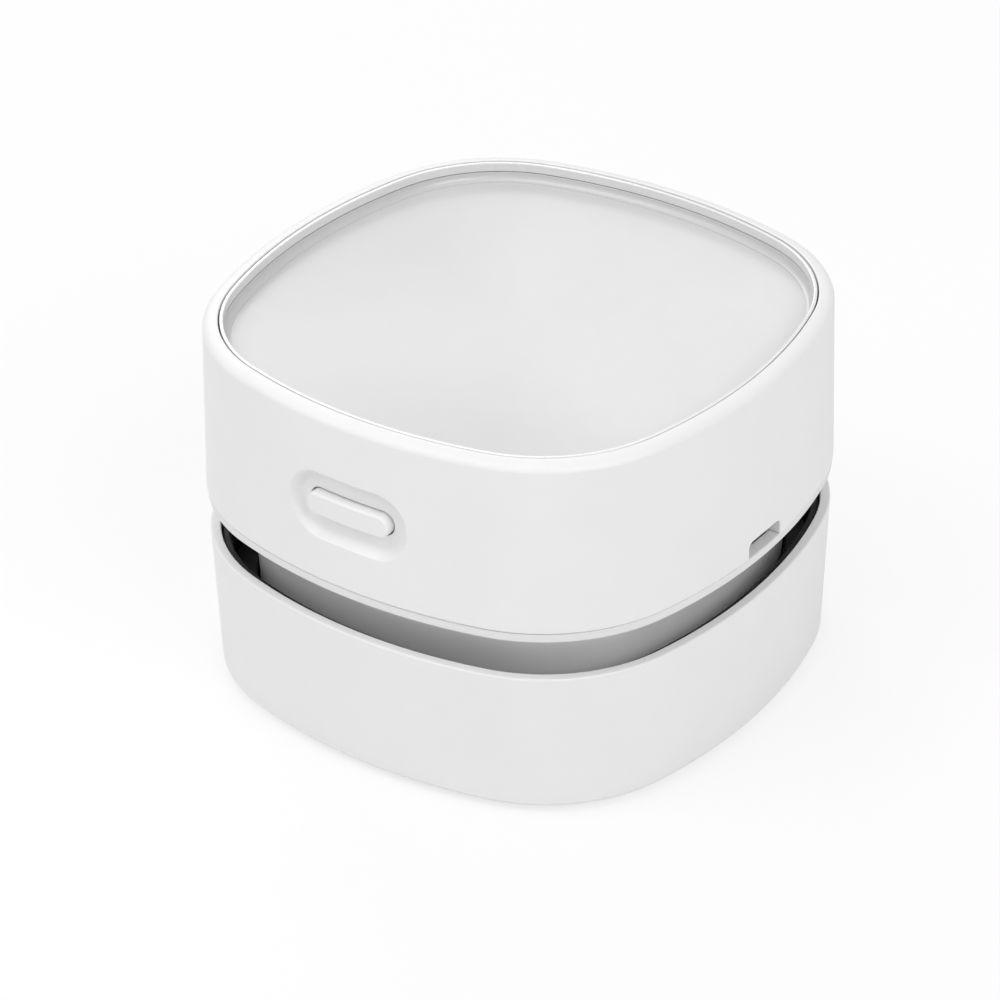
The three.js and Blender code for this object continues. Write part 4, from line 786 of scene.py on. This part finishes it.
select_where(cap, lambda edge: all(map(at_face, edge.verts)) and edge.calc_face_angle(0) > 1, "EDGE")
bpy.ops.mesh.bevel(offset=CAP_ROUNDING * MM, segments=6, affect="EDGES")
for i in range(-15, 16):
    bpy.ops.mesh.select_all(action="SELECT")
    bpy.ops.mesh.bisect(plane_co=(i * STRIP_WIDTH * MM, 0, 0), plane_no=(1, 0, 0))
object_mode()
push(cap, "bend", lambda place: BEND_RADIUS - math.sqrt(BEND_RADIUS ** 2 - place.x ** 2), MM, "Y")
stem = turned_piece("button_stem", [
    (0, FLANGE_BACK - 0.4), (1.6, FLANGE_BACK - 0.4), (1.6, STEM_END - 0.2), (1.4, STEM_END), (0, STEM_END)], 40)
object_mode()
stem.data.transform(Matrix.Translation((0, 0, BUTTON_LEVEL * MM)) @ Matrix.Rotation(-QUARTER, 4, "X"))
carve(cap, stem, "UNION")
finish_piece(cap, "power_button", "shell_white", ["power_button"])


# %% [markdown]
# ## Screws
# The screws that can be seen from below are turned in one go: a crowned head, and a shank with ridges
# for the thread. The cross in the head is cut with a tapered tool.

# %% Screws
def cross_screw(name, head_radius, head_height, shank_radius, base, tip, spot):
    """A screw with its head down, from the level of its head to that of its tip."""
    pitch, root, crest = 0.55, shank_radius - 0.14, shank_radius + 0.06
    ridges = []
    level = base + head_height + 0.5
    while level < tip - 1.6:
        ridges += [(root, level), (crest, level + pitch * 0.4), (root, level + pitch * 0.8)]
        level += pitch
    profile = rounded((0, base), (head_radius * 0.6, base + 0.03), (head_radius, base + 0.25, 0.12),
                      (head_radius, base + head_height, 0.08), (shank_radius, base + head_height),
                      (shank_radius, base + head_height + 0.4))
    screw = turned_piece(name, [*profile, *ridges, (shank_radius - 0.2, tip - 0.9), (0, tip)], 40, spot, spot)
    arm, width = head_radius * 0.6, head_radius * 0.22
    plus = [(-width, -arm), (width, -arm), (width, -width), (arm, -width), (arm, width), (width, width),
            (width, arm), (-width, arm), (-width, width), (-arm, width), (-arm, -width), (-width, -width)]
    cutter = slab("cross_cutter", [(spot + x, spot + y, base - 0.3) for x, y in plus], z=0.3 + head_height * 0.55,
                  taper=((0.6, 0.6, 1), (spot, spot, base)))
    carve(screw, cutter)
    return screw


finish_set(cross_screw("underside_screw", 1.9, 0.9, 0.85, 3.25, 9.7, BASE_SCREW_SPOT),
           CORNER_NAMES, "underside_screw", "dust_unit", "steel", "base_screw")
finish_set(cross_screw("ledge_screw", 1.9, 1.0, 0.9, 30.05, 43.2, HOUSING_SCREW_SPOT),
           CORNER_NAMES, "ledge_screw", "main_unit", "steel", "housing_screw")

# %% [markdown]
# ## Filter
# A basket with a slotted floor hangs in the neck and holds a pad of black foam. They show from below
# once the main unit is lifted off. The pad's edge is round, and its faces are a little uneven.

# %% Filter basket
BASKET_BASE, BASKET_FLOOR, BASKET_TOP, SLOT_PITCH, RIB_WIDTH = 14.4, 15.4, 21.0, 4.8, 1.6


def outline_reach(y, offset):
    """How far the outline reaches along X at a place along Y, in millimetres."""
    radius = SIDE_RADIUS / MM + offset
    if abs(y) <= radius * math.sin(side_turn):
        return side_centre / MM + math.sqrt(radius ** 2 - y ** 2)
    along = abs(y) - corner_centre / MM
    return corner_centre / MM + math.sqrt(max((CORNER_RADIUS / MM + offset) ** 2 - along ** 2, 0))


basket = draw_section("filter_basket", rounded(
    (FLOOR_RIM, BASKET_BASE), (-8.2, BASKET_BASE, 0.3), (-8.2, BASKET_TOP, 0.25), (-9.2, BASKET_TOP, 0.25),
    (-9.2, BASKET_FLOOR, 0.2), (FLOOR_RIM, BASKET_FLOOR)), closed=False)
sweep_outline()
for level in (BASKET_BASE, BASKET_FLOOR):
    fill_rim(basket, level, FLOOR_RIM)
tidy_mesh()
cutters = []
for row in range(7):
    for side in (1, -1):
        middle = side * (row + 0.5) * SLOT_PITCH
        half = (SLOT_PITCH - RIB_WIDTH) / 2
        far = outline_reach(abs(middle) + half, -9.9) if abs(middle) + half < HALF_WIDTH / MM - 10.5 else 0
        if far < 6:
            continue
        for low, high in ((RIB_WIDTH / 2, far), (-far, -RIB_WIDTH / 2)):
            cutters.append(block("basket_slot", (low, middle - half, 14), (high, middle + half, 16), round_off=0.8))
carve(basket, join_all(cutters))
finish_piece(basket, "main_unit", "plate_grey", ["filter_frame"])

# %% Foam pad
PAD_LOW, PAD_HIGH, PAD_EDGE, PAD_RIM = 15.55, 20.75, -9.5, -12.5
sponge = draw_section("foam_pad", rounded(
    (PAD_RIM, PAD_LOW), (PAD_EDGE, PAD_LOW, 1.1), (PAD_EDGE, PAD_HIGH, 1.1), (PAD_RIM, PAD_HIGH), steps=6),
    closed=False)
sweep_outline()
pad_shares = [1 - i / 16 for i in range(1, 16)] + [0.01]
for level in (PAD_LOW, PAD_HIGH):
    draw_floor_in(sponge, level, PAD_RIM, [(share, level) for share in pad_shares])
tidy_mesh()
uneven = bpy.data.textures.new("uneven", "CLOUDS")
uneven.noise_scale = 3 * MM
apply_modifier(sponge, "DISPLACE", texture=uneven, texture_coords="GLOBAL", strength=0.3 * MM, mid_level=1.0)
finish_piece(sponge, "main_unit", "foam_black", ["filter_foam"])

# %% [markdown]
# ## Finishes
# Every finish is made of nodes that read Object coordinates, so the grain keeps its real size on every
# piece. Three noises do most of the work: a wide one that shifts the colour by a per cent or two, a
# finer one that varies the gloss, and the finest one that raises the grain. Sizes are in millimetres.

# %% Helpers for finishes
def srgb(level):
    """The linear strength of a screen level between 0 and 255."""
    value = level / 255
    return value / 12.92 if value <= 0.04045 else ((value + 0.055) / 1.055) ** 2.4


def tint(red, green=None, blue=None):
    return srgb(red), srgb(red if green is None else green), srgb(red if blue is None else blue)


finishes = {}


class Finish:
    """One Principled material for a slot, with helpers that add a noise and lead it to a socket."""

    def __init__(self, name, **sockets):
        material = finishes[name] = bpy.data.materials.new(name)
        material.use_nodes = True
        self.tree = material.node_tree
        self.shader = self.tree.nodes["Principled BSDF"]
        for socket, value in sockets.items():
            self.shader.inputs[socket.replace("_", " ")].default_value = value
        self.place = self.tree.nodes.new("ShaderNodeTexCoord").outputs["Object"]

    def link(self, out, into):
        self.tree.links.new(out, into)

    def stretched(self, *scale):
        mapping = self.tree.nodes.new("ShaderNodeMapping")
        mapping.inputs["Scale"].default_value = scale
        self.link(self.place, mapping.inputs["Vector"])
        return mapping.outputs["Vector"]

    def noise(self, size, detail=3.0, place=None):
        """Noise whose blobs are about size millimetres wide."""
        node = self.tree.nodes.new("ShaderNodeTexNoise")
        node.inputs["Scale"].default_value = 1 / (size * MM)
        node.inputs["Detail"].default_value = detail
        self.link(place or self.place, node.inputs["Vector"])
        return node.outputs["Fac"]

    def cells(self, size, feature="F1"):
        node = self.tree.nodes.new("ShaderNodeTexVoronoi")
        node.feature = feature
        node.inputs["Scale"].default_value = 1 / (size * MM)
        self.link(self.place, node.inputs["Vector"])
        return node.outputs["Distance"]

    def spread(self, value, low, high, to_low, to_high):
        node = self.tree.nodes.new("ShaderNodeMapRange")
        for socket, number in zip(("From Min", "From Max", "To Min", "To Max"), (low, high, to_low, to_high)):
            node.inputs[socket].default_value = number
        self.link(value, node.inputs["Value"])
        return node.outputs["Result"]

    def colours(self, value, *stops):
        """Leads a value through colours, each given as (place, colour), to the base colour."""
        ramp = self.tree.nodes.new("ShaderNodeValToRGB")
        while len(ramp.color_ramp.elements) < len(stops):
            ramp.color_ramp.elements.new(0.5)
        for element, (place, colour) in zip(ramp.color_ramp.elements, stops):
            element.position = place
            element.color = (*colour, 1)
        self.link(value, ramp.inputs["Fac"])
        self.link(ramp.outputs["Color"], self.shader.inputs["Base Color"])

    def gloss(self, value, low, high):
        self.link(self.spread(value, 0.3, 0.7, low, high), self.shader.inputs["Roughness"])

    def grain(self, value, depth):
        """Raises a value as bumps, depth in millimetres."""
        bump = self.tree.nodes.new("ShaderNodeBump")
        bump.inputs["Distance"].default_value = depth * MM
        self.link(value, bump.inputs["Height"])
        self.link(bump.outputs["Normal"], self.shader.inputs["Normal"])


def moulded(name, colour, roughness, shift=0.015, grain=0.25, depth=0.006, **sockets):
    """Moulded plastic: a faint drift of colour, uneven gloss, and the fine grain of a spark-eroded mould."""
    finish = Finish(name, **sockets)
    light = tuple(min(value * (1 + shift), 1) for value in colour)
    dark = tuple(value * (1 - shift) for value in colour)
    finish.colours(finish.noise(14), (0.35, dark), (0.65, light))
    finish.gloss(finish.noise(3), roughness - 0.04, roughness + 0.04)
    finish.grain(finish.noise(grain, 2), depth)


# %% [markdown]
# ### Plastics, rubber and foam
# The shells have a fine satin grain, and the tray and the trim are smoother. The neck below the band is
# painted lighter than the band, as painted light where it lies in the shade of the gap, so its finish
# reads the height. Black parts keep a little grey bloom, rubber is duller with fine specks, and the foam
# is an open net of dark cells.

# %% Plastics, rubber and foam
moulded("shell_white", tint(232), 0.45, shift=0.008)
moulded("tray_white", tint(203), 0.35, shift=0.006, grain=0.4, depth=0.002, Coat_Weight=0.6, Coat_Roughness=0.25)
moulded("trim_white", tint(228), 0.25, shift=0.006, depth=0.002, Coat_Weight=1.0, Coat_Roughness=0.1)
moulded("cup_black", tint(24, 24, 25), 0.62, shift=0.2, grain=0.3, depth=0.01, Specular_IOR_Level=0.35)
moulded("plate_grey", tint(140, 142, 145), 0.55, shift=0.04, grain=0.3, depth=0.01)
moulded("fan_grey", tint(204, 211, 217), 0.4, shift=0.03, grain=0.4, depth=0.004)
moulded("chip_black", tint(24, 24, 26), 0.5, shift=0.2, grain=0.15, depth=0.008)

neck_painted_light = Finish("neck_grey")
heights = neck_painted_light.tree.nodes.new("ShaderNodeSeparateXYZ")
neck_painted_light.link(neck_painted_light.place, heights.inputs["Vector"])
in_band = neck_painted_light.spread(heights.outputs["Z"], 29.7 * MM, 29.9 * MM, 0.1, 0.9)
# Below the band the neck is painted lighter, near white: painted light that brightens it in the shade of the gap.
neck_painted_light.colours(in_band, (0.0, tint(248)), (0.2, tint(247)), (0.8, tint(225)), (1.0, tint(224)))
neck_painted_light.gloss(neck_painted_light.noise(3), 0.46, 0.54)
neck_painted_light.grain(neck_painted_light.noise(0.25, 2), 0.006)

rubber = Finish("rubber_black")
rubber.colours(rubber.noise(0.6, 4), (0.3, tint(30)), (0.7, tint(42, 42, 44)))
rubber.gloss(rubber.noise(2), 0.72, 0.9)
rubber.grain(rubber.noise(0.12, 3), 0.015)

foam = Finish("foam_black", Specular_IOR_Level=0.2)
pores = foam.cells(0.7)
foam.colours(pores, (0.15, tint(64, 64, 66)), (0.45, tint(38)), (0.8, tint(14)))
foam.gloss(foam.noise(1), 0.9, 1.0)
foam.grain(foam.spread(pores, 0.1, 0.9, 1, 0), 0.4)

nylon = Finish("bristle_grey")
nylon.colours(nylon.noise(0.35, 2, nylon.stretched(1, 1, 0.05)),
              (0.3, tint(38, 39, 42)), (0.55, tint(58, 59, 62)), (0.75, tint(92, 93, 96)))
nylon.gloss(nylon.noise(1), 0.42, 0.6)
nylon.grain(nylon.noise(0.1, 2, nylon.stretched(1, 1, 0.1)), 0.01)
print("so far:", ", ".join(finishes))

# %% [markdown]
# ### Metal, boards, sleeve and leads
# Turned steel has fine rings, so its noise is squeezed along the height. The board's green mask shows
# the copper tracks as a paler net with straight edges. The cell's sleeve is smooth with soft creases.

# %% Metal, boards, sleeve and leads
steel = Finish("steel", Metallic=1.0)
steel.colours(steel.noise(4), (0.3, tint(176, 178, 181)), (0.7, tint(200, 202, 205)))
steel.gloss(steel.noise(0.4, 4, steel.stretched(0.2, 0.2, 4)), 0.24, 0.4)
steel.grain(steel.noise(0.2, 3, steel.stretched(0.15, 0.15, 5)), 0.003)

board = Finish("board_green")
tracks = board.cells(1.6, "DISTANCE_TO_EDGE")
board.colours(tracks, (0.0, tint(46, 122, 74)), (0.12, tint(40, 112, 68)), (0.16, tint(24, 82, 50)))
board.gloss(board.noise(1), 0.32, 0.5)
board.grain(board.spread(tracks, 0.1, 0.18, 1, 0), 0.03)

sleeve = Finish("cell_blue", Coat_Weight=0.4, Coat_Roughness=0.2)
sleeve.colours(sleeve.noise(6), (0.3, tint(38, 96, 156)), (0.7, tint(50, 114, 178)))
sleeve.gloss(sleeve.noise(2), 0.3, 0.42)
sleeve.grain(sleeve.noise(1.5, 2, sleeve.stretched(0.3, 1, 1)), 0.04)

leads = Finish("wire_red")
leads.colours(leads.noise(1.5), (0.3, tint(160, 32, 34)), (0.7, tint(190, 46, 46)))
leads.gloss(leads.noise(1), 0.42, 0.56)
leads.grain(leads.noise(0.3), 0.01)

# %% Every piece gets its finish
for piece in bpy.context.scene.objects:
    if piece.type == "MESH" and "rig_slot" in piece:
        piece.data.materials.clear()
        piece.data.materials.append(finishes[piece["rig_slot"]])
for part in frame["record"]["subparts"]:
    for place in frame["nodes"][part["node"]].material_slots:
        place.material = finishes[part["material_slot"]]
print(len(finishes), "finishes")

# %% [markdown]
# ## Studio
# The photograph has soft light from all round. A plain world gives about half of it, and four wide lamps
# give the rest: one behind on the left draws the highlights on the rim and in the dish, one stands
# overhead, and two fill the sides. The floor and the world look white to the camera, and the floor to
# reflections too, but they light the object at a plain level, so the white plastic keeps its shading.

# %% Floor
bpy.ops.object.select_all(action="DESELECT")
bpy.ops.mesh.primitive_plane_add(size=4, location=(0, 0, 0))
floor = bpy.context.object
floor.name = "studio_floor"
FLOOR_GLOW = 0.75
paper = bpy.data.materials.new("studio_paper")
paper.use_nodes = True
nodes, links = paper.node_tree.nodes, paper.node_tree.links
shader = nodes["Principled BSDF"]
shader.inputs["Base Color"].default_value = (0.86, 0.86, 0.86, 1)
shader.inputs["Roughness"].default_value = 0.9
glow = nodes.new("ShaderNodeEmission")
ray = nodes.new("ShaderNodeLightPath")
seen = nodes.new("ShaderNodeMath")
seen.operation = "MAXIMUM"
links.new(ray.outputs["Is Camera Ray"], seen.inputs[0])
links.new(ray.outputs["Is Glossy Ray"], seen.inputs[1])
share = nodes.new("ShaderNodeMath")
share.operation = "MULTIPLY"
share.inputs[1].default_value = FLOOR_GLOW
links.new(seen.outputs[0], share.inputs[0])
mix = nodes.new("ShaderNodeMixShader")
links.new(share.outputs[0], mix.inputs[0])
links.new(shader.outputs[0], mix.inputs[1])
links.new(glow.outputs[0], mix.inputs[2])
links.new(mix.outputs[0], nodes["Material Output"].inputs["Surface"])
floor.data.materials.append(paper)
print(floor.name, "glows at", FLOOR_GLOW, "where it is seen")

# %% World and lamps
WORLD_LEVEL, LAMP_DISTANCE = 0.55, 1.3
world = bpy.data.worlds.new("studio")
bpy.context.scene.world = world
world.use_nodes = True
nodes, links = world.node_tree.nodes, world.node_tree.links
sky = nodes["Background"]
sky.inputs["Color"].default_value = (1, 1, 1, 1)
sky.inputs["Strength"].default_value = WORLD_LEVEL
white = nodes.new("ShaderNodeBackground")
ray = nodes.new("ShaderNodeLightPath")
mix = nodes.new("ShaderNodeMixShader")
links.new(ray.outputs["Is Camera Ray"], mix.inputs[0])
links.new(sky.outputs[0], mix.inputs[1])
links.new(white.outputs[0], mix.inputs[2])
links.new(mix.outputs[0], nodes["World Output"].inputs["Surface"])


def lamp(name, across, along, elevation, size, power):
    """A round soft lamp that faces the body, placed by a plan direction and an angle above the floor."""
    data = bpy.data.lights.new(name, "AREA")
    data.shape, data.size, data.energy = "DISK", size, power
    light = bpy.data.objects.new(name, data)
    bpy.context.scene.collection.objects.link(light)
    flat = Vector((across, along, 0)).normalized() * math.cos(math.radians(elevation))
    light.location = (flat + Vector((0, 0, math.sin(math.radians(elevation))))) * LAMP_DISTANCE
    light.rotation_euler = light.location.to_track_quat("Z", "Y").to_euler()
    print(name, "at", [round(value, 2) for value in light.location])


lamp("gloss_lamp", -0.8, 0.6, 32, 0.8, 3.5)
lamp("top_lamp", -0.35, -0.6, 66, 1.0, 4.5)
lamp("left_lamp", -0.6, -0.8, 38, 0.8, 2)
lamp("right_lamp", 0.95, -0.3, 42, 0.8, 5.3)
bpy.context.scene.view_settings.view_transform = "Standard"
